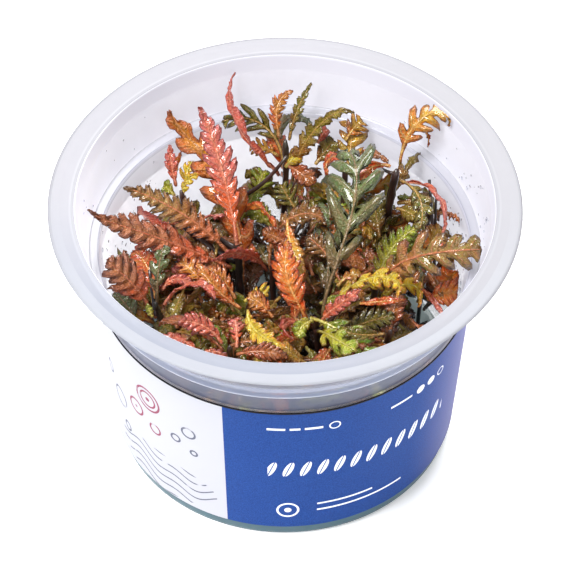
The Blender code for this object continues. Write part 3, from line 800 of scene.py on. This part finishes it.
growth = dict(stemGap=1.7, lineSteps=24, columns=10, ribPoints=14, thickness=0.22, rib=0.40,
              ribTip=0.10, ribReach=0.97, wave=0.26, tilt=0.28, quilt=0.09, curl=0.28,
              crumple=0.34, frill=0.10, groove=0.16, grooveWide=0.35, stalkRows=3, tipRows=2,
              hookFrom=0.75, sizes=(0.74, 1.08), shift=0.25, leastHalf=0.32, stalkHalf=0.34,
              tipNarrow=0.85, seed=11)
crumples = ((1900, 700, 900), (-800, 2100, 600), (500, -900, 2300))  # folds across, per metre
room = dict(wall=0.7, soft=1.5, give=1.4, gel=0.3, top=0.25)  # that leaves keep clear, in mm
fineRows = (-1.0, -0.84, -0.45, 0.0, 0.45, 0.84, 1.0)  # where rows cross a lobe, after its gap
coarseRows = (-0.92, 0.0, 0.92)


def leafLine(leaf):  # points, across and up along the midrib, each an array
    heading = math.radians(leaf["heading"])
    out = Vector((math.cos(heading), math.sin(heading), 0))
    if "start" in leaf:
        point = Vector(leaf["start"]) * mm
    else:
        point = stemPoint(stems[leaf["stem"]], leaf["at"]) + out * growth["stemGap"] * mm
    across = Vector((out.y, -out.x, 0))
    steps = growth["lineSteps"]
    roll = math.radians(leaf["roll"])
    points, wides, ups = [point], [], []

    def direction(share):
        turn = math.radians(leaf["heading"] + leaf["sway"] * share)
        bent = max(0, (share - growth["hookFrom"]) / (1 - growth["hookFrom"]))
        hook = leaf.get("hook", 0) * bent ** 2
        rise = math.radians(leaf["rise"] - leaf["droop"] * share - hook)
        level = math.cos(rise)
        return Vector((level * math.cos(turn), level * math.sin(turn), math.sin(rise)))

    for i in range(steps + 1):
        along = direction(i / steps)
        across = (across - along * across.dot(along)).normalized()
        wide = across * math.cos(roll) + across.cross(along) * math.sin(roll)
        wides.append(wide)
        ups.append(wide.cross(along))
        if i < steps:
            points.append(points[-1] + direction((i + 0.5) / steps) * leaf["length"] * mm / steps)
    return np.array(points), np.array(wides), np.array(ups)


def readLine(rows, shares):
    places = np.linspace(0, 1, len(rows))
    return np.column_stack([np.interp(shares, places, rows[:, i]) for i in range(3)])


def envelope(cut, share):  # the blade's width along it, before its lobes
    start, cap, along, across = cut["curve"]
    return np.sin(np.pi * np.minimum(cap, (start + (1 - start) * share) ** along)) ** across


def keepInside(places):  # holds leaf points off the cup's wall and the gel
    height = places[:, 2] / mm
    wall = np.array([wallAt(z) for z in np.clip(height, 3, cup["height"])]) - room["wall"]
    far = np.hypot(places[:, 0], places[:, 1]) / mm
    soft, give = wall - room["soft"], room["give"]
    over = np.maximum(far - soft, 0)
    held = np.where(far > soft, soft + give * (1 - np.exp(-over / give)), far)
    ratio = held / np.maximum(far, 0.001)
    places[:, 0] *= ratio
    places[:, 1] *= ratio
    places[:, 2] = np.clip(places[:, 2], (gel["height"] + room["gel"]) * mm,
                           (cup["height"] - room["top"]) * mm)
    return places


def addLayers(mesh, **layers):  # values that the leaf's material reads
    for key, values in layers.items():
        layer = mesh.attributes.new(key, "FLOAT", "POINT")
        layer.data.foreach_set("value", values.astype(np.float32))


def bladeMesh(name, leaf, dice, rowPlaces, columns):
    cut = cuts[leaf["cut"]]
    lobes = max(leaf["lobes"], 3)
    stalkRows, perLobe = growth["stalkRows"], len(rowPlaces) + 1
    bladeRows = lobes * perLobe
    rows = stalkRows + bladeRows + growth["tipRows"]
    bpy.ops.mesh.primitive_grid_add(x_subdivisions=rows, y_subdivisions=columns, size=2)
    blade = bpy.context.object
    blade.name = name
    mesh = blade.data
    flat = np.empty(len(mesh.vertices) * 3, np.float32)
    mesh.vertices.foreach_get("co", flat)
    flat = flat.reshape(-1, 3)
    row = np.round((flat[:, 0] + 1) / 2 * rows).astype(int)
    sign = np.sign(np.round(flat[:, 1], 4))
    side = np.clip(np.abs(flat[:, 1]), 0, 1) ** 1.1

    # rows: a few along the stalk, then a gap and a lobe in turn, then the tip
    inLobes = np.clip(row - stalkRows, 0, bladeRows - 1)
    index = inLobes // perLobe
    finger = np.array((-1 / (1 - cut["gap"]),) + rowPlaces)[inLobes % perLobe]
    offset = finger * (1 - cut["gap"]) / 2
    pastLobes = np.clip(row - stalkRows - bladeRows + 1, 0, None) / (growth["tipRows"] + 1)
    stalk = cut["stalk"]
    pitch = (1 - stalk) / (lobes + 0.15)
    inStalk = row < stalkRows
    share = np.where(inStalk, row / stalkRows * stalk, stalk + (index + 0.5 + offset) * pitch)
    share += pastLobes * (1 - share)
    inBlade = np.clip((share - stalk) / (1 - stalk), 0, 1)

    # lobes: each side has its own sizes and starts a little before or after the other
    shift = dice.uniform(-growth["shift"], growth["shift"]) * pitch
    sizes = np.array([[dice.uniform(*growth["sizes"]) for _ in range(lobes)] for _ in range(2)])
    tilts = np.array([[dice.gauss(0, 1) for _ in range(lobes)] for _ in range(2)])
    which = (sign > 0).astype(int)
    swell = np.clip(1 - np.abs(finger) ** cut["square"], 0, 1) ** 0.5
    notch = cut["notch"] + 0.3 * inBlade ** 3
    full = leaf["width"] / 2 * envelope(cut, inBlade) * sizes[which, index]
    full *= 1 - leaf.get("taper", 0.25) * inBlade ** 2
    zigzag = 1 - 2 * (row % 2)
    half = full * (notch + (1 - notch) * swell) * (1 + cut["jag"] * zigzag)
    half = np.maximum(half, growth["leastHalf"]) * (1 - pastLobes * growth["tipNarrow"])
    half = np.where(inStalk, growth["stalkHalf"], half) * mm

    reach = side * half
    width = leaf["width"] / 2 * mm
    lobeDepth = max(0.8 - cut["notch"], 0.001)
    outwards = np.clip((reach / (full * mm + 0.00001) - cut["notch"]) / lobeDepth, 0, 1)
    narrow = 1 - cut["pinch"] * (1 - outwards) ** 0.7 * (outwards > 0) * np.sin(
        np.pi * np.clip(outwards + 0.35, 0, 1))
    shares = np.where(inStalk, share, share - offset * pitch * (1 - narrow))
    wave = growth["wave"] * np.sin(share * 17 + sign * 1.7 + dice.uniform(0, 6)) * side * 0.6
    tilt = growth["tilt"] * tilts[which, index] * side * swell
    quilt = growth["quilt"] * np.cos(np.pi * finger) * side * (1 - side) * 4
    frill = growth["frill"] * side ** 2 * zigzag * (1 - inStalk)
    lift = reach * (cut["fold"] + tilt - growth["curl"] * side ** 3)
    lift += width * (wave * 0.5 + quilt + frill * (cut["jag"] * 6 + 0.4))
    lift -= growth["groove"] * mm * np.exp(-(reach / (growth["grooveWide"] * mm)) ** 2)

    line = leafLine(leaf)
    forward = cut["lean"] * reach / (leaf["length"] * mm)
    forward += shift * sign * np.minimum(1, side * 2.5) * (1 - inStalk)
    shares = np.clip(shares + forward, 0, 1)
    point, across, up = (readLine(rows3, shares) for rows3 in line)
    places = point + across * (sign * reach)[:, None]
    crumple = sum(np.sin(places @ np.array(way) + dice.uniform(0, 6)) for way in crumples)
    lift += crumple * growth["crumple"] / len(crumples) * mm * np.minimum(1, side * 2)
    places = keepInside(places + up * lift[:, None])
    mesh.vertices.foreach_set("co", places.astype(np.float32).ravel())
    level = np.ones(len(share))
    addLayers(mesh, along=share, side=side, finger=finger,
              tone=level * leaf.get("tone", dice.random()), rib=level * 0)
    return blade, line


def thicken(blade):
    solid = blade.modifiers.new("thickness", "SOLIDIFY")
    solid.thickness = growth["thickness"] * mm
    solid.offset = 0
    applyAll(blade)
    blade.data.shade_smooth()


def ribLine(leaf, line, points):
    places = []
    thick = min(1, leaf["width"] / 5 + 0.25)
    for i in range(points + 1):
        share = growth["ribReach"] * i / points
        radius = (growth["rib"] + (growth["ribTip"] - growth["rib"]) * share ** 0.7) * thick
        point, up = readLine(line[0], [share])[0], readLine(line[2], [share])[0]
        places.append((point - up * 0.1 * mm, radius * mm))
    held = keepInside(np.array([place for place, _ in places]))
    return [(Vector(place), radius) for place, (_, radius) in zip(held, places)]


def addRibs(blade, lines):
    ribs = tubes(blade.name + "Ribs", lines)
    addLayers(ribs.data, rib=np.ones(len(ribs.data.vertices)))
    joinAll([blade, ribs])


# Leaf colours, 0 to 255: near the stalk, by the midrib, outwards, on the edge, of the veins, and
# in patches; and the painted shade they turn to low between the others, between paintedShadeTo
# and paintedShadeFrom mm up
looks = {
    "rose": dict(root=(246, 104, 8), inner=(236, 122, 92), outer=(218, 108, 104),
                 edge=(132, 46, 42), vein=(254, 172, 140), patch=(206, 84, 54)),
    "orange": dict(root=(236, 88, 8), inner=(255, 152, 46), outer=(238, 102, 40),
                   edge=(134, 44, 18), vein=(255, 200, 110), patch=(212, 72, 26)),
    "amber": dict(root=(224, 92, 14), inner=(230, 152, 40), outer=(224, 116, 50),
                  edge=(122, 46, 20), vein=(248, 184, 112), patch=(180, 128, 30)),
    "golden": dict(root=(224, 104, 16), inner=(238, 186, 44), outer=(212, 138, 48),
                   edge=(132, 56, 24), vein=(250, 218, 120), patch=(160, 148, 30)),
    "bronze": dict(root=(190, 76, 18), inner=(194, 116, 44), outer=(174, 88, 44),
                   edge=(76, 32, 18), vein=(230, 156, 108), patch=(128, 100, 28)),
    "tan": dict(root=(222, 114, 62), inner=(196, 152, 78), outer=(164, 124, 62), edge=(98, 58, 30),
                vein=(240, 154, 108), patch=(134, 128, 48)),
    "clay": dict(root=(226, 92, 38), inner=(206, 136, 84), outer=(184, 112, 78),
                 edge=(104, 50, 36), vein=(246, 154, 112), patch=(128, 116, 44)),
    "olive": dict(root=(160, 90, 24), inner=(170, 154, 38), outer=(128, 114, 32),
                  edge=(92, 46, 20), vein=(220, 178, 96), patch=(80, 98, 20)),
    "lime": dict(root=(190, 164, 32), inner=(216, 216, 50), outer=(140, 170, 26),
                 edge=(150, 88, 34), vein=(244, 232, 130), patch=(86, 136, 16)),
    "yellow": dict(root=(222, 178, 20), inner=(254, 228, 44), outer=(246, 188, 40),
                   edge=(208, 84, 36), vein=(255, 244, 130), patch=(220, 196, 30)),
    "grey": dict(root=(146, 104, 64), inner=(126, 144, 84), outer=(102, 124, 72),
                 edge=(84, 84, 48), vein=(170, 142, 100), patch=(84, 104, 46)),
    # deep: near-black leaves that stand for painted shade low in the mound
    "deep": dict(root=(60, 30, 12), inner=(74, 52, 18), outer=(48, 32, 14), edge=(20, 11, 8),
                 vein=(124, 78, 44), patch=(36, 42, 10)),
}
paintedShadeLeaf = (26, 15, 9)
paintedShadeTo, paintedShadeFrom = 27, 41
shine = dict(coat=1.0, coatRoughness=0.06, specular=0.7, glow=0.04, depth=0.0011)
leafScales = dict(mottle=520, grain=2100, drift=170, net=1000)  # of its patterns, per metre
thinness = dict(least=0.06, rise=0.26)  # the share of light that passes through a leaf


def leafFinish(name, look):
    material, shader, place = newFinish(
        "leaf" + name.capitalize(), IOR=1.5, Coat_Roughness=shine["coatRoughness"],
        Coat_Weight=shine["coat"], Specular_IOR_Level=shine["specular"],
        Emission_Strength=shine["glow"])
    read = {key: place.node("Attribute", {"attribute_name": key}, None, 2)
            for key in ("along", "side", "finger", "tone", "rib")}
    colour = {key: tint(*value) for key, value in look.items()}
    mottle = noise(place, leafScales["mottle"], 4, 0.62)
    grain = noise(place, leafScales["grain"], 2)
    drift = noise(place, leafScales["drift"], 3)
    base = (read["side"] + (mottle - 0.5) * 0.9).rise(0.05, 0.8).pick(
        colour["inner"], colour["outer"])
    base = (1 - (read["along"] + (drift - 0.5) * 0.6).rise(0.15, 0.6)).pick(base, colour["root"])
    base = ((drift * 0.6 + read["tone"] * 0.4).rise(0.44, 0.62) * 0.8).pick(base, colour["patch"])
    sideVein = 1 - (abs(read["finger"]) + read["side"] * 0.08).rise(0.05, 0.22)
    net = place.node("TexVoronoi", {"feature": "DISTANCE_TO_EDGE"},
                     {"Vector": place, "Scale": leafScales["net"]})
    fine = 1 - net.rise(0.02, 0.16)
    midVein = 1 - read["side"].rise(0.03, 0.12)
    veins = place.math("MAXIMUM", sideVein * 0.75, midVein)
    base = (veins * 0.75).pick(base, colour["vein"])
    base = (fine * 0.34).pick(base, colour["vein"])
    base = (grain.rise(0.45, 0.75) * 0.35).pick(base, colour["edge"])
    rim = (read["side"] + (mottle - 0.5) * 0.4).rise(0.74, 1.0)
    slit = abs(read["finger"]).rise(0.7, 1.0) * read["side"].rise(0.1, 0.7) * 0.55
    tip = (read["along"] + (mottle - 0.5) * 0.3).rise(0.86, 1.0)
    worn = place.math("MAXIMUM", place.math("MAXIMUM", rim, tip), slit)
    base = (worn * 0.7).pick(base, colour["edge"])
    base = read["rib"].pick(base, (mottle.rise(0.3, 0.7) * 0.6).pick(
        colour["vein"], colour["root"]))
    # painted shade: leaves low between the others turn dark by height, and let less light through
    outOfPaintedShade = (place.node("SeparateXYZ", None, {0: place}, 2) * 1000).rise(paintedShadeTo, paintedShadeFrom)
    base = ((1 - outOfPaintedShade) * 0.86).pick(base, tint(*paintedShadeLeaf))
    drive(shader, base, "Base Color")
    # painted light: a faint glow in the leaf's own colour lifts its shade
    drive(shader, base, "Emission Color")
    drive(shader, 0.1 + mottle * 0.35, "Roughness")
    relief = bump(place, mottle * 0.6 + grain * 0.3 + fine * 0.2 + veins * 0.35, shine["depth"])
    drive(shader, relief, "Normal")
    thin = tint(*[sum(parts) / 3 for parts in zip(look["inner"], look["outer"], look["patch"])])
    through = place.node("BsdfTranslucent", None, {"Color": thin, "Normal": relief})
    both = place.node("MixShader", None, {
        0: outOfPaintedShade * thinness["rise"] + thinness["least"],
        1: Socket(place.tree, shader.outputs[0]), 2: through})
    out = place.tree.nodes["Material Output"]
    place.tree.links.new(both.socket, out.inputs["Surface"])
    return material


# Smaller showy leaves, each with its own start

small = {
    "orangeRound": sprout((-24.5, 30.5, 44), (123, 51, 40, 20, 20), (6, 6), "oak", 3, "orange"),
    "limeRound": sprout((-24, 25.5, 40), (149, 42, 30, 0, 35), (4.5, 4.5), "broad", 3, "lime"),
    "goldenLobes": sprout((-22, 27, 41), (80, 58, 40, -20, -5), (6.5, 6), "oak", 3, "yellow"),
    "oliveRound": sprout((6.5, 29.5, 46), (38, 41, 30, 20, -35), (7, 6), "broad", 3, "olive"),
    "pinkBud": sprout((7, 32, 50), (55, 41, 20, 0, -25), (4, 3.2), "broad", 3, "rose"),
    "stripedFront": sprout((-10, -22, 42), (-12, 35, 60, 10, -45), (11.5, 4.5), "feather", 8,
        "bronze"),
    "brownFront": sprout((-11.5, -18, 40), (-4, 40, 50, 0, -45), (8, 5), "fern", 5, "bronze"),
    "mauveSmall": sprout((-10, -20, 42), (89, 31, 30, 10, 0), (7, 4.5), "oak", 4, "rose"),
    "goldenGloss": sprout((0.5, 15, 44), (-93, 10, 50, 40, -10), (16, 4.5), "broad", 5, "golden"),
    "tanBlade": sprout((2.5, 8.5, 42), (176, 41, 40, -20, 45), (8.5, 4.6), "feather", 6, "bronze"),
    "goldenBack": sprout((-1.5, 32, 46), (-181, 46, 40, 0, 45), (7, 4.4), "oak", 4, "golden"),
    "orangeBit": sprout((-0, 28.5, 46), (48, 32, 40, 0, -30), (5, 4), "broad", 3, "yellow"),
    "redBrown": sprout((0.5, 29, 46), (-39, 12, 40, 0, -35), (7.5, 5), "broad", 3, "bronze"),
    "greenA": sprout((-7, 24.5, 38), (71, 43, 30, 0, -15), (8.5, 7), "oak", 4, "lime"),
    "greenB": sprout((-10, 21.5, 36), (48, 47, 30, 20, -25), (7.5, 6), "broad", 4, "lime"),
    "greenC": sprout((-3, 20, 36), (158, 54, 30, -20, 45), (6.5, 6), "broad", 4, "lime"),
    "greenD": sprout((3, 22, 38), (144, 55, 30, -20, 35), (8, 7), "oak", 4, "olive"),
    "amberSmall": sprout((24, 16.5, 46), (-32, 25, 50, 0, -40), (5, 4.5), "broad", 3, "golden"),
    "darkOlive": sprout((20.5, 13.5, 40), (100, 37, 20, 0, 5), (9, 6), "broad", 4, "olive"),
    "orangeStrap2": sprout((16, -7.5, 42), (-9, 21, 20, 10, -45), (10, 2), "strap", 0, "orange"),
    "limeSecond": sprout((23, 3.5, 42), (30, 56, 40, 20, -40), (9, 6), "fern", 6, "lime"),
    "yellowSecond": sprout((16.5, -4, 43), (-2, 39, 60, 20, -45), (7, 4.6), "oak", 4, "yellow"),
    "orangeLobe": sprout((-27.5, -4.5, 40), (102, 62, 60, 30, 10), (12, 7), "broad", 4, "orange"),
    "pinkCurl": sprout((-26, -4, 42), (34, 74, 130, -60, -25), (8.5, 2.8), "feather", 5, "rose"),
    "yellowSliver": sprout((-28, -10, 40), (137, 60, 0, 0, 35), (3.5, 2.2), "strap", 0, "lime"),
    "greyLow": sprout((-31.5, -9, 38), (138, 49, 30, 0, 30), (7.5, 6.5), "broad", 3, "grey"),
    "brownRight": sprout((30.5, -4.5, 40), (3, 43, 50, 0, -45), (7, 7.5), "broad", 4, "orange"),
    "goldenRight": sprout((29.5, 6.5, 42), (35, 58, 50, 20, -35), (7.5, 6.5), "broad", 4,
        "golden"),
    "redStrapA": sprout((29.5, -1.5, 40), (-61, 20, 40, 0, -25), (9, 1.8), "strap", 0, "rose"),
    "redStrapB": sprout((30.5, 1.5, 42), (-65, 23, 60, 0, -20), (8.5, 1.8), "strap", 0, "bronze"),
    "darkLeafA": sprout((10.5, -13.5, 38), (11, 33, 40, 10, -45), (14, 7), "fern", 7, "olive"),
    "darkLeafB": sprout((22.5, -11.5, 38), (77, 53, 30, 0, -10), (8, 6), "broad", 4, "bronze"),
    "limeArch": sprout((6, -13.5, 43), (-145, 44, 110, 30, 25), (6, 4), "broad", 4, "lime"),
    "limeLarge": sprout((5.5, -12.5, 43), (-30, 15, 50, -10, -35), (15.5, 10), "oak", 4, "lime"),
    "paleStrap": sprout((7.5, -7.5, 42), (9, 25, 30, 0, -40), (5.5, 2.2), "strap", 0, "lime"),
    "yellowPink": sprout((-8.5, -8, 43), (22, 35, 50, 0, -40), (6, 4), "oak", 3, "yellow"),
    "oakPink": sprout((-16.5, 4.5, 42), (-156, 17, 50, 0, 40), (8, 5), "broad", 4, "rose"),
    "bronzeMid": sprout((-15.5, -3.5, 40), (138, 43, 40, 0, 30), (10.5, 6), "oak", 4, "amber"),
    "bronzeLeft2": sprout((-19, 4.5, 40), (149, 45, 30, 10, 35), (10, 7), "fern", 6, "bronze"),
    "orangeMid": sprout((-10.5, -4.5, 40), (134, 50, 50, 10, 30), (9.5, 5.5), "fern", 6, "amber"),
    "redRight": sprout((34, 2.5, 44), (119, 47, 20, 0, 20), (5, 4), "broad", 3, "orange"),
    "centreBrown": sprout((10.5, 6, 40), (144, 45, 30, 0, 35), (8, 6), "fern", 5, "bronze"),
    "goldenFront": sprout((-2.5, -11.5, 42), (141, 46, 60, 0, 35), (7.5, 5), "fern", 5, "amber"),
    "roseCentre": sprout((3, -2.5, 40), (131, 59, 40, 10, 25), (8, 6), "feather", 6, "rose"),
    "amberTop": sprout((13, 31, 52), (43, 50, 40, 0, -30), (6, 6), "oak", 3, "golden"),
    "hangTip": sprout((34.5, 32.5, 57), (23, 11, 100, -20, -60), (5.5, 2.6), "strap", 0, "orange"),
    "curlTip": sprout((-26, 39.5, 52), (109, 75, 150, 20, 20), (3, 2.8), "strap", 0, "bronze"),
}

skins = {name: leafFinish(name, look) for name, look in looks.items()}
slots = {"golden": "leaf_amber", "tan": "leaf_bronze", "clay": "leaf_bronze"}


def makeLeaves():
    dice = random.Random(growth["seed"])
    for name, leaf in leaves.items():
        title = "leaf" + "".join(word.capitalize() for word in name.split("_"))
        blade, line = bladeMesh(title, leaf, dice, fineRows, growth["columns"])
        thicken(blade)
        addRibs(blade, [ribLine(leaf, line, growth["ribPoints"])])
        blade.data.materials.append(skins[leaf["look"]])
        settle(blade, slots.get(leaf["look"], "leaf_" + leaf["look"]), "leaf_" + name)


makeStems()
makeLeaves()
print("stems and large leaves are made:", len(stems), len(leaves))


# Undergrowth: the many smaller leaves along the stems and between them, joined by colour

undergrowth = dict(seed=23, columns=6, ribPoints=6, centre=(1, -2), spread=(31, 31),
                   whorls=(0.42, 0.55, 0.68, 0.8, 0.9, 0.97), perWhorl=4, clear=2.6,
                   hollow=dict(x=-7, y=5, radius=6.5, height=31), showyColumns=8, showyPoints=10)
fills = {  # leaves in each, the heights where they start and their lengths, in mm
    "low": dict(count=260, heights=(16, 31), sizes=(9, 16)),
    "high": dict(count=620, heights=(29, 40), sizes=(6, 12)),
    "dark": dict(count=40, heights=(14.5, 21), sizes=(9, 14)),
}
# below lowTo most leaves take the near-black deep look, as painted shade low in the mound
lowTo = 28
lowLooks = ("deep", "deep", "bronze", "olive", "bronze", "deep")
sideLooks = {  # upper leaves, from the left of the cup to its right
    -14: ("bronze", "olive", "tan", "rose", "olive", "golden"),
    12: ("bronze", "lime", "olive", "orange", "golden", "tan"),
    60: ("olive", "golden", "bronze", "lime", "olive", "amber"),
}


def pickLook(x, height, dice):
    if height < lowTo:
        return dice.choice(lowLooks)
    return dice.choice(next(names for edge, names in sideLooks.items() if x < edge))


def shapeSmall(dice, length):
    return dict(droop=dice.uniform(20, 90), sway=dice.gauss(0, 45), roll=dice.gauss(0, 40),
                hook=dice.uniform(0, 120), length=length, width=length * dice.uniform(0.38, 0.6),
                cut=dice.choice(("oak", "oak", "fern", "feather", "broad")),
                lobes=dice.choice((3, 4, 5)))


def fillLeaf(dice, layer):
    angle = dice.uniform(0, 2 * math.pi)
    out = math.sqrt(dice.random())
    x = undergrowth["centre"][0] + undergrowth["spread"][0] * out * math.cos(angle)
    y = undergrowth["centre"][1] + undergrowth["spread"][1] * out * math.sin(angle)
    height = dice.uniform(*layer["heights"])
    return dict(start=(x, y, height), heading=math.degrees(math.atan2(y, x)) + dice.gauss(0, 70),
                rise=dice.uniform(5, 60), look=pickLook(x, height, dice),
                **shapeSmall(dice, dice.uniform(*layer["sizes"])))


def whorl(dice, letter, share):
    stem = stems[letter]
    place = stemPoint(stem, share) / mm
    turn = dice.uniform(0, 360)
    count = undergrowth["perWhorl"]
    return [dict(stem=letter, at=share, heading=turn + 360 / count * i + dice.gauss(0, 15),
                 rise=dice.uniform(20, 70), look=pickLook(place.x, place.z, dice),
                 **shapeSmall(dice, dice.uniform(8, 15))) for i in range(count)]


def midline(leaf):  # a few points along it, in mm
    return leafLine(leaf)[0][::4] / mm


def inTheWay(leaf, shown):  # hides part of a showy leaf from the camera, or fills the dark hollow
    points = midline(leaf)
    hollow = undergrowth["hollow"]
    out = np.hypot(points[:, 0] - hollow["x"], points[:, 1] - hollow["y"])
    if np.any((out < hollow["radius"]) & (points[:, 2] > hollow["height"])):
        return True
    rise = math.radians(view["rise"])
    towards = np.array([0, -math.cos(rise), math.sin(rise)])
    gap = points[:, None, :] - shown[None, :, :]
    along = gap @ towards
    aside = np.sqrt(np.maximum((gap ** 2).sum(axis=2) - along ** 2, 0))
    return bool(np.any((along > 0.5) & (aside < undergrowth["clear"])))


def growTogether(prefix, members, dice, rowPlaces, columns, ribPoints):  # one piece per look
    groups = {}
    for leaf in members:
        groups.setdefault(leaf["look"], []).append(leaf)
    for look, group in groups.items():
        blades, ribs = [], []
        for leaf in group:
            blade, line = bladeMesh(prefix, leaf, dice, rowPlaces, columns)
            blades.append(blade)
            ribs.append(ribLine(leaf, line, ribPoints))
        joinAll(blades)
        piece = blades[0]
        piece.name = prefix + look.capitalize()
        thicken(piece)
        addRibs(piece, ribs)
        piece.data.materials.append(skins[look])
        stands = ["undergrowth"] if prefix == "undergrowth" and look == "deep" else []
        settle(piece, slots.get(look, "leaf_" + look), *stands)


def makeUndergrowth():
    dice = random.Random(undergrowth["seed"])
    filling = []
    for name, layer in fills.items():
        for _ in range(layer["count"]):
            leaf = fillLeaf(dice, layer)
            # the dark layer: near-black deep leaves over the gel, as painted shade
            if name == "dark":
                leaf.update(rise=dice.uniform(0, 25), look="deep")
            filling.append(leaf)
    for letter in stems:
        for share in undergrowth["whorls"]:
            filling += whorl(dice, letter, share + dice.uniform(-0.03, 0.03))
    shown = np.vstack([midline(leaf) for leaf in [*leaves.values(), *small.values()]])
    filling = [leaf for leaf in filling if not inTheWay(leaf, shown)]
    growTogether("undergrowth", filling, dice, coarseRows, undergrowth["columns"],
                 undergrowth["ribPoints"])
    growTogether("showy", list(small.values()), dice, fineRows, undergrowth["showyColumns"],
                 undergrowth["showyPoints"])
    return len(filling), len(small)


print("undergrowth and showy small leaves:", *makeUndergrowth())
